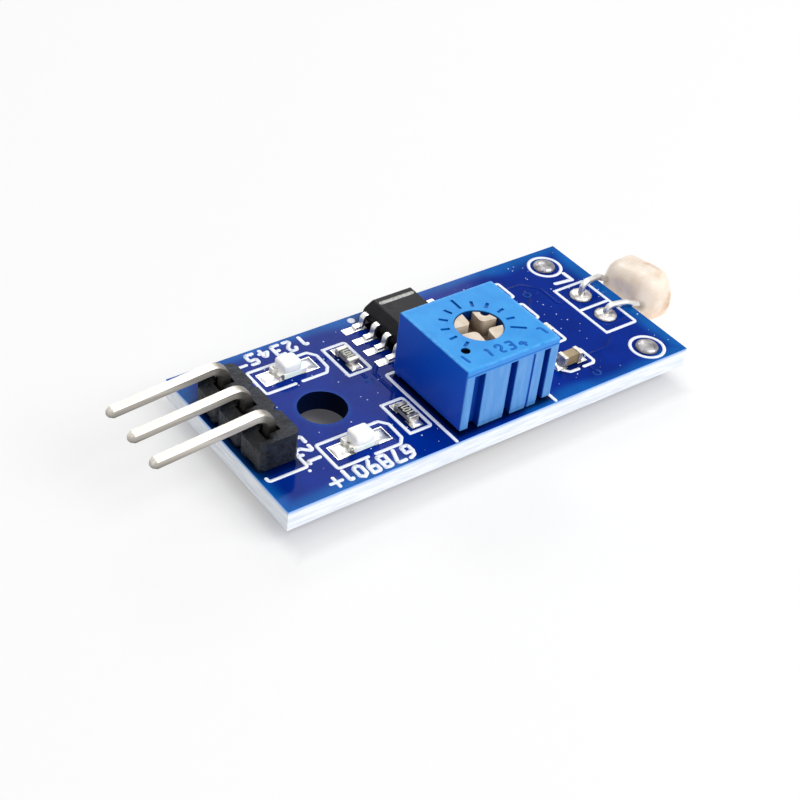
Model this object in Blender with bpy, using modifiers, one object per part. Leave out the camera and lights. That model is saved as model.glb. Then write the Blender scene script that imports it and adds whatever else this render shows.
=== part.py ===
import math

import bmesh
import bpy
from mathutils import Matrix, Vector

# Every size is in millimetres in the board's own frame: its top face is z = 0, its centre is x = y = 0,
# the header is at -X and the sensor at +X. The root empty brings the module to metres.
MM = 0.001

# Clearance between neighbouring pieces, and the distance at which loose corners are welded
SEAT_GAP = 0.02
WELD = 0.0005

# Board
BOARD_LENGTH = 32.0
BOARD_WIDTH = 14.0
BOARD_THICKNESS = 1.45
COPPER = 0.035
MOUNT_HOLE_DIAMETER = 3.2
MOUNT_HOLE_FROM_END = 7.0
MOUNT_HOLE_Y = -0.1
TAIL_LENGTH = 1.3

# Right-angle pin header
PIN_COUNT = 3
PIN_PITCH = 2.54
PIN_SIDE = 0.64
PIN_BEND_RADIUS = 1.0
PIN_TAPER = 0.35
PIN_TIP_SHARE = 0.55
PIN_EDGE = 0.09
PIN_REACH = 7.9
PIN_DROOP = math.radians(5.3)
PIN_CREST = 3.55
HEADER_X = -14.42
HEADER_Y = 0.22
HEADER_FRONT = 1.25
HEADER_BACK = 1.42
HEADER_HEIGHT = 2.3
HEADER_STANDOFF = 0.28
HEADER_CORNER = 0.25
HEADER_BACK_CORNER = 0.32
HEADER_FOOT = 0.55
CHANNEL_WALL = 0.3
CHANNEL_LOW = 1.55
CHANNEL_HIGH = 1.95
PIN_POCKET = 0.16
HEADER_HOLE_DIAMETER = 1.1

# Dual comparator in an eight-lead package
CHIP_X = 0.3
CHIP_Y = 3.7
CHIP_WIDTH = 3.9
CHIP_LENGTH = 4.9
CHIP_TOP = 1.62
CHIP_LIFT = 0.2
CHIP_PARTING = 0.9
CHIP_DRAFT = 0.14
CHIP_CHAMFER = 0.5
CHIP_CHAMFER_DROP = 0.45
CHIP_EDGE = 0.04
LEADS_PER_SIDE = 4
LEAD_PITCH = 1.27
LEAD_WIDTH = 0.42
LEAD_THICKNESS = 0.2
LEAD_SPAN = 6.0
LEAD_FOOT = 0.62
LEAD_BEND = 0.2
LEAD_ROOT = 0.35
LEAD_PAD_WIDTH = 0.6
LEAD_PAD_LENGTH = 1.7
LEAD_PAD_OUTSIDE = 0.8

# Single-turn trimmer
TRIMMER_X = 0.53
TRIMMER_Y = -2.93
TRIMMER_LENGTH = 7.35
TRIMMER_WIDTH = 7.0
TRIMMER_TOP = 4.82
TRIMMER_FOOT = 0.2
TRIMMER_EDGE = 0.1
TRIMMER_LID = 0.75
TRIMMER_BORE = 4.9
ELEMENT_LENGTH = 5.7
ELEMENT_WIDTH = 4.8
ELEMENT_THICKNESS = 0.65
ELEMENT_LIFT = 0.5
RIB_RECESS_DEPTH = 0.5
RIB_RECESS_TOP = 4.28
RIB_RECESSES = ((-3.07, -2.2), (-0.25, 0.35), (2.46, 2.98))
RIB_LINE = (1.56, 1.76)
RIB_LINE_DEPTH = 0.09
LIP_LINE_Z = 4.47
LIP_LINE = 0.07
FOOT_DEPTH = 0.6
DIAL_HOLE_DIAMETER = 3.2
DIAL_X = -0.09
DIAL_Y = 0.0
TICK_COUNT = 11
TICK_FIRST = math.radians(-34.0)
TICK_STEP = math.radians(24.5)
TICK_START = 1.95
TICK_SHORT = 0.6
TICK_LONG = 1.05
LONG_TICK_EVERY = 5
TICK_WIDTH = 0.22
TICK_DEPTH = 0.11
MARK_HOLE_X = -2.47
MARK_HOLE_Y = -1.67
MARK_HOLE_DIAMETER = 0.62
MARK_HOLE_DEPTH = 0.3
TRIMMER_PIN_PITCH = 2.54
TRIMMER_PIN_DIAMETER = 0.5
TRIMMER_HOLE_DIAMETER = 0.85
TRIMMER_PIN_INSET = 0.35

# Rotor and wiper inside the trimmer
ROTOR_GAP = 0.05
ROTOR_SINK = 0.1
ROTOR_FLANGE = 4.6
ROTOR_FLANGE_THICKNESS = 0.75
SLOT_WIDTH = 0.72
SLOT_DEPTH = 1.2
SLOT_ROUND = 0.32
SLOT_TURN = math.radians(-8.5)
POINTER_ANGLE = math.radians(38.0)
POINTER_RADIUS = 0.3
WIPER_DIAMETER = 3.0
WIPER_THICKNESS = 0.14
WIPER_ARM_WIDTH = 0.7
WIPER_ARM_START = 1.0
WIPER_ARM_REACH = 1.9
WIPER_TOE = 0.35

# Light-dependent resistor
SENSOR_Y = 0.1
SENSOR_Z = -0.15
SENSOR_STANDOFF = 0.4
SENSOR_DIAMETER = 5.05
SENSOR_FLATS = 3.7
SENSOR_THICKNESS = 2.6
SENSOR_RIM = 1.15
SENSOR_RIM_EDGE = 0.2
SENSOR_BACK_SHARE = 0.5
SENSOR_FACE_SHARE = 0.93
SENSOR_ROLL = math.radians(-9.0)
SENSOR_LEAD_DIAMETER = 0.45
SENSOR_LEAD_SPREAD = 3.3
SENSOR_PAD_X = 13.6
SENSOR_PAD_Y = -0.1
SENSOR_PAD_PITCH = 2.6
SENSOR_LEAD_BEND = 0.42
SENSOR_LEAD_CRESTS = (0.56, 1.14)
SENSOR_LEAD_SAG = 0.2
SENSOR_LEAD_KNEE = 0.65
SENSOR_LEAD_ENTRY = 0.45
SENSOR_LEAD_RISE = 0.12
SENSOR_HOLE_DIAMETER = 0.9

# Solder joints and the two filled corner holes
JOINT_DIAMETER = 1.6
JOINT_HEIGHT = 0.34
SENSOR_JOINT_HEIGHT = 0.26
TAIL_FILLET = 0.85
TAIL_FILLET_NECK = 0.17
CORNER_HOLE_DIAMETER = 1.0
CORNER_HOLE_X = 13.6
CORNER_HOLE_Y = 5.38
CORNER_HOLE_MIDDLE_Y = -0.2

# Chip LEDs
LED_X = -8.95
LED_MIDDLE_Y = -0.07
LED_SPREAD = 8.0
LED_LENGTH = 2.05
LED_WIDTH = 1.25
LED_BASE = 0.36
LED_TERMINAL = 0.36
LED_NOTCH_RADIUS = 0.25
LED_LENS_LENGTH = 1.36
LED_LENS_WIDTH = 1.2
LED_LENS_HEIGHT = 0.72
LED_LENS_DRAFT = 0.1
LED_PAD_LENGTH = 1.35
LED_PAD_WIDTH = 1.3
LED_PAD_SPAN = 4.05

# Chip resistors and capacitors
CHIP_PART_LENGTH = 1.6
CHIP_PART_WIDTH = 0.8
RESISTOR_HEIGHT = 0.47
CAPACITOR_HEIGHT = 0.82
END_CAP = 0.33
END_CAP_WALL = 0.04
END_CAP_EDGE = 0.035
CHIP_PAD_LENGTH = 0.85
CHIP_PAD_WIDTH = 0.86
CHIP_PAD_SPAN = 2.55
FRONT_RESISTORS = ((-4.9, 3.2), (-4.9, -3.3))
REAR_CHIP_X = 7.76
REAR_RESISTORS_Y = (4.27, 1.55)
CAPACITORS_Y = (-1.24, -4.22)

# Facets
HOLE_SIDES = 16
LARGE_HOLE_SIDES = 48
TURN_STEPS = 24
ROTOR_STEPS = 48
BEND_STEPS = 8
SMALL_BEND_STEPS = 4

ALONG_Y = math.pi / 2
OUTWARD = math.pi

parts = None
cutters = None
root = None


def clear_scene():
    for obj in list(bpy.data.objects):
        bpy.data.objects.remove(obj, do_unlink=True)


def new_collection(name):
    collection = bpy.data.collections.new(name)
    bpy.context.scene.collection.children.link(collection)
    return collection


def new_material(name, colour, roughness, metallic=0.0):
    material = bpy.data.materials.new(name)
    material.use_nodes = True
    shader = material.node_tree.nodes["Principled BSDF"]
    shader.inputs["Base Color"].default_value = (*colour, 1.0)
    shader.inputs["Roughness"].default_value = roughness
    shader.inputs["Metallic"].default_value = metallic
    material.diffuse_color = (*colour, 1.0)
    return material


# Placing and combining pieces

def place(name, mesh, at=(0, 0, 0), turn=(0, 0, 0), parent=None):
    obj = bpy.data.objects.new(name, mesh)
    obj.location = at
    obj.rotation_euler = turn
    obj.parent = parent or root
    parts.objects.link(obj)
    return obj


def paint(obj, material):
    obj.data.materials.clear()
    obj.data.materials.append(material)
    return obj


def as_cutter(obj):
    for collection in list(obj.users_collection):
        collection.objects.unlink(obj)
    cutters.objects.link(obj)
    obj.hide_render = True
    obj.display_type = "WIRE"
    return obj


def boolean(obj, tool, operation):
    modifier = obj.modifiers.new(operation.title(), "BOOLEAN")
    modifier.operation = operation
    modifier.solver = "EXACT"
    modifier.object = as_cutter(tool)


def cut(obj, tool):
    boolean(obj, tool, "DIFFERENCE")


def fuse(obj, tool):
    boolean(obj, tool, "UNION")


def round_edges(obj, width, segments=1, angle=math.radians(40)):
    modifier = obj.modifiers.new("Bevel", "BEVEL")
    modifier.width = width
    modifier.segments = segments
    modifier.limit_method = "ANGLE"
    modifier.angle_limit = angle


def shade_round(obj, angle=math.radians(35)):
    obj.data.shade_smooth()
    obj.data.set_sharp_from_angle(angle=angle)


# Shapes

def mesh_from(name, bm):
    bmesh.ops.recalc_face_normals(bm, faces=bm.faces)
    mesh = bpy.data.meshes.new(name)
    bm.to_mesh(mesh)
    bm.free()
    return mesh


def add_box(bm, low, high):
    centre = (Vector(low) + Vector(high)) / 2
    size = Vector(high) - Vector(low)
    matrix = Matrix.Translation(centre) @ Matrix.Diagonal((*size, 1.0))
    bmesh.ops.create_cube(bm, size=1.0, matrix=matrix)


def box(name, low, high, **where):
    bm = bmesh.new()
    add_box(bm, low, high)
    return place(name, mesh_from(name, bm), **where)


def boxes(name, spans, **where):
    bm = bmesh.new()
    for low, high in spans:
        add_box(bm, low, high)
    return place(name, mesh_from(name, bm), **where)


def add_cylinder(bm, centre, radius, low, high, sides):
    matrix = Matrix.Translation((centre[0], centre[1], (low + high) / 2))
    bmesh.ops.create_cone(bm, cap_ends=True, segments=sides, radius1=radius, radius2=radius,
                          depth=high - low, matrix=matrix)


def cylinders(name, centres, radius, low, high, sides=HOLE_SIDES, **where):
    bm = bmesh.new()
    for centre in centres:
        add_cylinder(bm, centre, radius, low, high, sides)
    return place(name, mesh_from(name, bm), **where)


def loft(name, sections, **where):
    bm = bmesh.new()
    rings = [[bm.verts.new(point) for point in section] for section in sections]
    for lower, upper in zip(rings, rings[1:]):
        for i in range(len(lower)):
            j = (i + 1) % len(lower)
            bm.faces.new((lower[i], lower[j], upper[j], upper[i]))
    bm.faces.new(rings[0])
    bm.faces.new(rings[-1])
    return place(name, mesh_from(name, bm), **where)


def turned(name, profile, steps=TURN_STEPS, **where):
    mesh = bpy.data.meshes.new(name)
    closed = profile[0][0] > 0
    count = len(profile)
    edges = [(i, (i + 1) % count) for i in range(count if closed else count - 1)]
    mesh.from_pydata([(radius, 0, z) for radius, z in profile], edges, [])
    obj = place(name, mesh, **where)
    modifier = obj.modifiers.new("Screw", "SCREW")
    modifier.steps = steps
    modifier.render_steps = steps
    modifier.use_merge_vertices = True
    modifier.merge_threshold = 0.0001
    return obj


def curve_mesh(name, curve):
    guide = bpy.data.objects.new(name, curve)
    bpy.context.scene.collection.objects.link(guide)
    graph = bpy.context.evaluated_depsgraph_get()
    mesh = bpy.data.meshes.new_from_object(guide.evaluated_get(graph))
    bpy.data.objects.remove(guide)
    bm = bmesh.new()
    bm.from_mesh(mesh)
    bpy.data.meshes.remove(mesh)
    bmesh.ops.remove_doubles(bm, verts=bm.verts, dist=WELD)
    return mesh_from(name, bm)


def new_spline(curve, points, closed):
    spline = curve.splines.new("POLY")
    spline.points.add(len(points) - 1)
    for target, point in zip(spline.points, points):
        target.co = (*point, 1.0)
    spline.use_cyclic_u = closed


def flat_piece(name, outline, thickness, **where):
    curve = bpy.data.curves.new(name, "CURVE")
    curve.dimensions = "2D"
    curve.fill_mode = "BOTH"
    curve.extrude = thickness / 2
    new_spline(curve, [(x, y, 0.0) for x, y in outline], closed=True)
    return place(name, curve_mesh(name, curve), **where)


def wire(name, points, diameter, **where):
    curve = bpy.data.curves.new(name, "CURVE")
    curve.dimensions = "3D"
    curve.bevel_depth = diameter / 2
    curve.bevel_resolution = 3
    curve.use_fill_caps = True
    new_spline(curve, points, closed=False)
    return place(name, curve_mesh(name, curve), **where)


# A route with rounded corners, as pairs of place and heading
def rounded_route(points, radius, steps):
    points = [Vector(point) for point in points]
    first = (points[1] - points[0]).normalized()
    last = (points[-1] - points[-2]).normalized()
    route = [(points[0], first)]
    for before, corner, after in zip(points, points[1:], points[2:]):
        arriving = (corner - before).normalized()
        leaving = (after - corner).normalized()
        turn = arriving.angle(leaving)
        inward = (leaving - arriving * arriving.dot(leaving)).normalized()
        start = corner - arriving * radius * math.tan(turn / 2)
        for step in range(steps + 1):
            angle = turn * step / steps
            spot = start + arriving * radius * math.sin(angle) + inward * radius * (1 - math.cos(angle))
            route.append((spot, arriving * math.cos(angle) + inward * math.sin(angle)))
    route.append((points[-1], last))
    return route


# The outline of a bent strip seen from its side
def strip_outline(route, halves):
    left = []
    right = []
    for (spot, heading), half in zip(route, halves):
        left.append((spot.x - heading.y * half, spot.y + heading.x * half))
        right.append((spot.x + heading.y * half, spot.y - heading.x * half))
    return left + right[::-1]


def bent_strip(name, points, thickness, width, bend, steps, **where):
    route = rounded_route([(*point, 0.0) for point in points], bend, steps)
    outline = strip_outline(route, [thickness / 2] * len(route))
    return flat_piece(name, outline, width, **where)


# A square wire with both ends drawn to a short taper, in the XZ plane
def square_wire(name, points, side, bend, **where):
    route = rounded_route([(x, 0.0, z) for x, z in points], bend, BEND_STEPS)
    (tail, rising), (tip, leaving) = route[0], route[-1]
    route.insert(1, (tail + rising * PIN_TAPER, rising))
    route.insert(-1, (tip - leaving * PIN_TAPER, leaving))
    across = Vector((0.0, side / 2, 0.0))
    sections = []
    for i, (spot, heading) in enumerate(route):
        share = PIN_TIP_SHARE if i in (0, len(route) - 1) else 1.0
        up = across.cross(heading)
        corners = (-across - up, across - up, across + up, up - across)
        sections.append([spot + corner * share for corner in corners])
    return loft(name, sections, **where)


def row(count, pitch, middle=0.0):
    return [middle + pitch * (i - (count - 1) / 2) for i in range(count)]


def tail_end():
    return -BOARD_THICKNESS - TAIL_LENGTH


def pad_top():
    return COPPER + SEAT_GAP


# Places that several pieces share

def header_pin_places():
    return [(HEADER_X, y) for y in row(PIN_COUNT, PIN_PITCH, HEADER_Y)]


def trimmer_pin_places():
    return [(x, TRIMMER_Y) for x in row(3, TRIMMER_PIN_PITCH, TRIMMER_X)]


def sensor_pad_places():
    return [(SENSOR_PAD_X, y) for y in row(2, SENSOR_PAD_PITCH, SENSOR_PAD_Y)]


def corner_hole_places():
    return [(CORNER_HOLE_X, CORNER_HOLE_MIDDLE_Y + side * CORNER_HOLE_Y) for side in (-1, 1)]


def led_places():
    return [(LED_X, y) for y in row(2, LED_SPREAD, LED_MIDDLE_Y)]


def resistor_places():
    rear = [(REAR_CHIP_X, y, 0.0) for y in REAR_RESISTORS_Y]
    return [(x, y, ALONG_Y) for x, y in FRONT_RESISTORS] + rear


def capacitor_places():
    return [(REAR_CHIP_X, y, 0.0) for y in CAPACITORS_Y]


def sensor_back():
    return BOARD_LENGTH / 2 + SENSOR_STANDOFF


def sensor_front():
    return sensor_back() + SENSOR_THICKNESS


# Board with its copper pads, plated holes and mounting hole

def pad_pair(centre, length, width, span, turn):
    spans = []
    for side in (-1, 1):
        middle = side * (span - length) / 2
        along = (middle - length / 2, middle + length / 2)
        across = (-width / 2, width / 2)
        (x0, x1), (y0, y1) = (along, across) if turn == 0 else (across, along)
        low = (centre[0] + x0, centre[1] + y0, -COPPER)
        high = (centre[0] + x1, centre[1] + y1, COPPER)
        spans.append((low, high))
    return spans


def make_board(material):
    low = (-BOARD_LENGTH / 2, -BOARD_WIDTH / 2, -BOARD_THICKNESS)
    board = box("pcb", low, (BOARD_LENGTH / 2, BOARD_WIDTH / 2, 0.0))
    pads = []
    for x, y in led_places():
        pads += pad_pair((x, y), LED_PAD_LENGTH, LED_PAD_WIDTH, LED_PAD_SPAN, 0)
    for x, y, turn in resistor_places() + capacitor_places():
        pads += pad_pair((x, y), CHIP_PAD_LENGTH, CHIP_PAD_WIDTH, CHIP_PAD_SPAN, turn)
    for y in row(LEADS_PER_SIDE, LEAD_PITCH, CHIP_Y):
        pads += pad_pair((CHIP_X, y), LEAD_PAD_LENGTH, LEAD_PAD_WIDTH, LEAD_SPAN + 2 * LEAD_PAD_OUTSIDE, 0)
    fuse(board, boxes("pads", pads))
    ringed = header_pin_places() + trimmer_pin_places() + sensor_pad_places() + corner_hole_places()
    fuse(board, cylinders("rings", ringed, JOINT_DIAMETER / 2, -BOARD_THICKNESS - COPPER, COPPER, TURN_STEPS))
    drilled = (
        ("header_holes", header_pin_places(), HEADER_HOLE_DIAMETER),
        ("trimmer_holes", trimmer_pin_places(), TRIMMER_HOLE_DIAMETER),
        ("sensor_holes", sensor_pad_places(), SENSOR_HOLE_DIAMETER),
        ("corner_holes", corner_hole_places(), CORNER_HOLE_DIAMETER),
    )
    for name, places, diameter in drilled:
        cut(board, cylinders(name, places, diameter / 2, -2 * BOARD_THICKNESS, BOARD_THICKNESS))
    hole = [(-BOARD_LENGTH / 2 + MOUNT_HOLE_FROM_END, MOUNT_HOLE_Y)]
    cut(board, cylinders("mount_hole", hole, MOUNT_HOLE_DIAMETER / 2, -2 * BOARD_THICKNESS, BOARD_THICKNESS,
                         LARGE_HOLE_SIDES))
    paint(board, material)


# Header: one moulding of three eight-sided segments, with a channel for each bent pin

def header_outline():
    front = -HEADER_FRONT
    back = HEADER_BACK
    left = []
    right = []
    for y in row(PIN_COUNT, PIN_PITCH):
        low = y - PIN_PITCH / 2
        high = y + PIN_PITCH / 2
        left += [(front + HEADER_CORNER, low), (front, low + HEADER_CORNER),
                 (front, high - HEADER_CORNER), (front + HEADER_CORNER, high)]
        right += [(back - HEADER_BACK_CORNER, low), (back, low + HEADER_BACK_CORNER),
                  (back, high - HEADER_BACK_CORNER), (back - HEADER_BACK_CORNER, high)]
    outline = right + left[::-1]
    return [point for i, point in enumerate(outline) if point != outline[i - 1]]


def make_header(material):
    middle = (HEADER_STANDOFF + HEADER_HEIGHT) / 2
    housing = flat_piece("header_housing", header_outline(), HEADER_HEIGHT - HEADER_STANDOFF,
                         at=(HEADER_X, HEADER_Y, middle))
    ys = row(PIN_COUNT, PIN_PITCH)
    front = -HEADER_FRONT
    inner = -PIN_SIDE / 2
    outside = front - HEADER_FRONT
    above = 2 * HEADER_HEIGHT
    wedge = [(outside, CHANNEL_LOW), (front, CHANNEL_LOW), (inner, CHANNEL_HIGH),
             (inner, above), (outside, above)]
    for y in ys:
        fuse(housing, make_header_feet(y, middle))
    for i, y in enumerate(ys):
        channel = flat_piece(f"pin_channel_{i + 1}", wedge, PIN_PITCH - 2 * CHANNEL_WALL,
                             at=(HEADER_X, HEADER_Y + y, 0), turn=(math.pi / 2, 0, 0))
        cut(housing, channel)
    bore = PIN_SIDE / 2 + SEAT_GAP
    pocket = PIN_SIDE / 2 + PIN_POCKET
    bores = [((-bore, y - bore, -HEADER_STANDOFF), (bore, y + bore, above)) for y in ys]
    cut(housing, boxes("pin_bores", bores, at=(HEADER_X, HEADER_Y, 0)))
    pockets = [((-pocket, y - pocket, CHANNEL_LOW), (pocket, y + pocket, above)) for y in ys]
    cut(housing, boxes("pin_pockets", pockets, at=(HEADER_X, HEADER_Y, 0)))
    paint(housing, material)


# Two feet under the pin side of each segment, and one under the other side
def make_header_feet(y, middle):
    front = -HEADER_FRONT
    back = HEADER_BACK
    edge = PIN_PITCH / 2 - HEADER_CORNER
    top = middle
    spans = []
    for side in (-1, 1):
        outer = y + side * edge
        inner = outer - side * HEADER_FOOT
        low = (front + SEAT_GAP, min(outer, inner), SEAT_GAP + COPPER)
        spans.append((low, (front + HEADER_FOOT, max(outer, inner), top)))
    half = HEADER_FOOT / 2
    spans.append(((back - HEADER_FOOT, y - half, SEAT_GAP + COPPER), (back - SEAT_GAP, y + half, top)))
    return boxes("header_feet", spans, at=(HEADER_X, HEADER_Y, 0))


def header_pin_route():
    run = PIN_REACH
    tip_z = PIN_CREST - run * math.tan(PIN_DROOP)
    return [(0, tail_end()), (0, PIN_CREST), (-run, tip_z)]


def make_header_pins(material):
    for i, (x, y) in enumerate(header_pin_places()):
        pin = square_wire(f"header_pin_{i + 1}", header_pin_route(), PIN_SIDE, PIN_BEND_RADIUS,
                          at=(x, y, 0))
        round_edges(pin, PIN_EDGE)
        paint(pin, material)


# Comparator

def rectangle(x0, x1, half_y, z):
    return [(x0, -half_y, z), (x1, -half_y, z), (x1, half_y, z), (x0, half_y, z)]


def make_comparator(body_material, lead_material):
    half_x = CHIP_WIDTH / 2
    half_y = CHIP_LENGTH / 2
    lean = CHIP_DRAFT / 2
    crest = CHIP_TOP - CHIP_CHAMFER_DROP
    sections = [
        rectangle(-half_x + CHIP_DRAFT, half_x - CHIP_DRAFT, half_y - CHIP_DRAFT, CHIP_LIFT),
        rectangle(-half_x, half_x, half_y, CHIP_PARTING),
        rectangle(-half_x + lean, half_x - lean, half_y - lean, crest),
        rectangle(-half_x + CHIP_DRAFT + CHIP_CHAMFER, half_x - CHIP_DRAFT, half_y - CHIP_DRAFT, CHIP_TOP),
    ]
    body = loft("comparator_body", sections, at=(CHIP_X, CHIP_Y, 0))
    round_edges(body, CHIP_EDGE, angle=math.radians(25))
    slots = []
    for side in (-1, 1):
        outer = side * (half_x + 1.0)
        inner = side * (half_x - LEAD_ROOT)
        for y in row(LEADS_PER_SIDE, LEAD_PITCH):
            half = LEAD_WIDTH / 2 + SEAT_GAP
            low = (min(outer, inner), y - half, CHIP_PARTING - LEAD_THICKNESS / 2 - SEAT_GAP)
            high = (max(outer, inner), y + half, CHIP_PARTING + LEAD_THICKNESS / 2 + SEAT_GAP)
            slots.append((low, high))
    cut(body, boxes("lead_slots", slots, at=(CHIP_X, CHIP_Y, 0)))
    paint(body, body_material)

    foot_z = pad_top() + LEAD_THICKNESS / 2
    root_x = half_x - LEAD_ROOT + SEAT_GAP
    toe_x = LEAD_SPAN / 2
    heel_x = toe_x - LEAD_FOOT
    shoulder_x = (half_x + heel_x) / 2 + LEAD_BEND / 2
    route = [(root_x, CHIP_PARTING), (shoulder_x, CHIP_PARTING), (heel_x, foot_z), (toe_x, foot_z)]
    ys = row(LEADS_PER_SIDE, LEAD_PITCH, CHIP_Y)
    numbered = [(y, OUTWARD) for y in ys[::-1]] + [(y, 0.0) for y in ys]
    for i, (y, turn) in enumerate(numbered):
        lead = bent_strip(f"comparator_lead_{i + 1}", route, LEAD_THICKNESS, LEAD_WIDTH, LEAD_BEND,
                          SMALL_BEND_STEPS, at=(CHIP_X, y, 0), turn=(math.pi / 2, 0, turn))
        paint(lead, lead_material)


# Trimmer

def make_trimmer_housing(material):
    half_x = TRIMMER_LENGTH / 2
    half_y = TRIMMER_WIDTH / 2
    at = (TRIMMER_X, TRIMMER_Y, 0)
    front = -half_y
    housing = box("trimmer_housing", (-half_x, -half_y, TRIMMER_FOOT), (half_x, half_y, TRIMMER_TOP), at=at)
    round_edges(housing, TRIMMER_EDGE, segments=2)
    ribs = [(RIB_RECESSES[0][1], RIB_RECESSES[1][0]), (RIB_RECESSES[1][1], RIB_RECESSES[2][0])]
    feet = [((x0, front + SEAT_GAP, SEAT_GAP), (x1, front + FOOT_DEPTH, TRIMMER_FOOT + SEAT_GAP))
            for x0, x1 in ribs]
    back_foot = half_y - FOOT_DEPTH
    foot_top = TRIMMER_FOOT + 2 * TRIMMER_EDGE
    for side in (-1, 1):
        x0, x1 = sorted((side * (half_x - TRIMMER_EDGE), side * (half_x - FOOT_DEPTH)))
        feet.append(((x0, back_foot, SEAT_GAP), (x1, half_y - TRIMMER_EDGE, foot_top)))
    fuse(housing, boxes("trimmer_feet", feet, at=at))

    recesses = [((x0, front - 1, -1), (x1, front + RIB_RECESS_DEPTH, RIB_RECESS_TOP))
                for x0, x1 in RIB_RECESSES]
    cut(housing, boxes("rib_recesses", recesses, at=at))
    lines = [((RIB_LINE[0], front - 1, -1), (RIB_LINE[1], front + RIB_LINE_DEPTH, RIB_RECESS_TOP)),
             ((-half_x - 1, front - 1, LIP_LINE_Z - LIP_LINE), (half_x + 1, front + LIP_LINE, LIP_LINE_Z))]
    cut(housing, boxes("face_lines", lines, at=at))

    seat = (ELEMENT_LENGTH / 2 + SEAT_GAP, ELEMENT_WIDTH / 2 + SEAT_GAP)
    seat_top = ELEMENT_LIFT + ELEMENT_THICKNESS + SEAT_GAP
    cut(housing, box("element_seat", (-seat[0], -seat[1], -1), (seat[0], seat[1], seat_top), at=at))
    dial = [(DIAL_X, DIAL_Y)]
    cut(housing, cylinders("rotor_bore", dial, TRIMMER_BORE / 2, ELEMENT_LIFT, TRIMMER_TOP - TRIMMER_LID,
                           ROTOR_STEPS, at=at))
    cut(housing, cylinders("dial_hole", dial, DIAL_HOLE_DIAMETER / 2, ELEMENT_LIFT, TRIMMER_TOP + 1,
                           ROTOR_STEPS, at=at))
    cut(housing, make_ticks(at))
    cut(housing, cylinders("mark_hole", [(MARK_HOLE_X, MARK_HOLE_Y)], MARK_HOLE_DIAMETER / 2,
                           TRIMMER_TOP - MARK_HOLE_DEPTH, TRIMMER_TOP + 1, at=at))
    paint(housing, material)


def make_ticks(at):
    bm = bmesh.new()
    for i in range(TICK_COUNT):
        long_tick = i % LONG_TICK_EVERY == 0 and i < TICK_COUNT - 1
        length = TICK_LONG if long_tick else TICK_SHORT
        size = (length, TICK_WIDTH, 2 * TICK_DEPTH)
        turn = Matrix.Rotation(TICK_FIRST + i * TICK_STEP, 4, "Z")
        out = Matrix.Translation((TICK_START + length / 2, 0, 0))
        centre = Matrix.Translation((DIAL_X, DIAL_Y, TRIMMER_TOP))
        bmesh.ops.create_cube(bm, size=1.0, matrix=centre @ turn @ out @ Matrix.Diagonal((*size, 1.0)))
    return place("dial_ticks", mesh_from("dial_ticks", bm), at=at)


def cross_outline(width, reach, fillet):
    half = width / 2
    outline = []
    for quarter in range(4):
        turn = Matrix.Rotation(quarter * math.pi / 2, 2)
        corner = Vector((half + fillet, half + fillet))
        points = [Vector((reach, -half)), Vector((reach, half))]
        for step in range(SMALL_BEND_STEPS + 1):
            angle = -math.pi / 2 - step / SMALL_BEND_STEPS * math.pi / 2
            points.append(corner + fillet * Vector((math.cos(angle), math.sin(angle))))
        outline += [tuple(turn @ point) for point in points]
    return outline


# The rotor and its wiper turn about the dial's centre
def make_rotor(material, wiper_material):
    axis = bpy.data.objects.new("rotor_axis", None)
    axis.location = (TRIMMER_X + DIAL_X, TRIMMER_Y + DIAL_Y, 0)
    axis.parent = root
    parts.objects.link(axis)

    hub = DIAL_HOLE_DIAMETER / 2 - ROTOR_GAP
    top = TRIMMER_TOP - ROTOR_SINK
    flange_top = TRIMMER_TOP - TRIMMER_LID - ROTOR_GAP
    flange_low = flange_top - ROTOR_FLANGE_THICKNESS
    profile = [(0, top), (hub, top), (hub, flange_top), (ROTOR_FLANGE / 2, flange_top),
               (ROTOR_FLANGE / 2, flange_low), (0, flange_low)]
    rotor = turned("trimmer_rotor", profile, ROTOR_STEPS, parent=axis)
    slot = flat_piece("rotor_slot", cross_outline(SLOT_WIDTH, hub + 1, SLOT_ROUND), 2 * SLOT_DEPTH,
                      at=(0, 0, top), turn=(0, 0, SLOT_TURN), parent=axis)
    cut(rotor, slot)
    pointer = (hub * math.cos(POINTER_ANGLE), hub * math.sin(POINTER_ANGLE))
    cut(rotor, cylinders("rotor_pointer", [pointer], POINTER_RADIUS, flange_top + SEAT_GAP, top + 1,
                         parent=axis))
    paint(rotor, material)

    wiper_top = flange_low - SEAT_GAP
    wiper_low = wiper_top - WIPER_THICKNESS
    disc = [(0, wiper_top), (WIPER_DIAMETER / 2, wiper_top), (WIPER_DIAMETER / 2, wiper_low), (0, wiper_low)]
    wiper = turned("trimmer_wiper", disc, TURN_STEPS, parent=axis)
    track = ELEMENT_LIFT + ELEMENT_THICKNESS + SEAT_GAP + WIPER_THICKNESS / 2
    knee = WIPER_ARM_START + (WIPER_ARM_REACH - WIPER_ARM_START) / 2
    middle = (wiper_top + wiper_low) / 2
    toe = WIPER_ARM_REACH - WIPER_TOE
    route = [(0.2, middle), (knee, middle), (toe, track), (WIPER_ARM_REACH, track)]
    for side in (0, 1):
        arm = bent_strip(f"wiper_arm_{side + 1}", route, WIPER_THICKNESS * 0.9, WIPER_ARM_WIDTH,
                         WIPER_THICKNESS, SMALL_BEND_STEPS, turn=(math.pi / 2, 0, side * OUTWARD), parent=axis)
        fuse(wiper, arm)
    paint(wiper, wiper_material)


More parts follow.
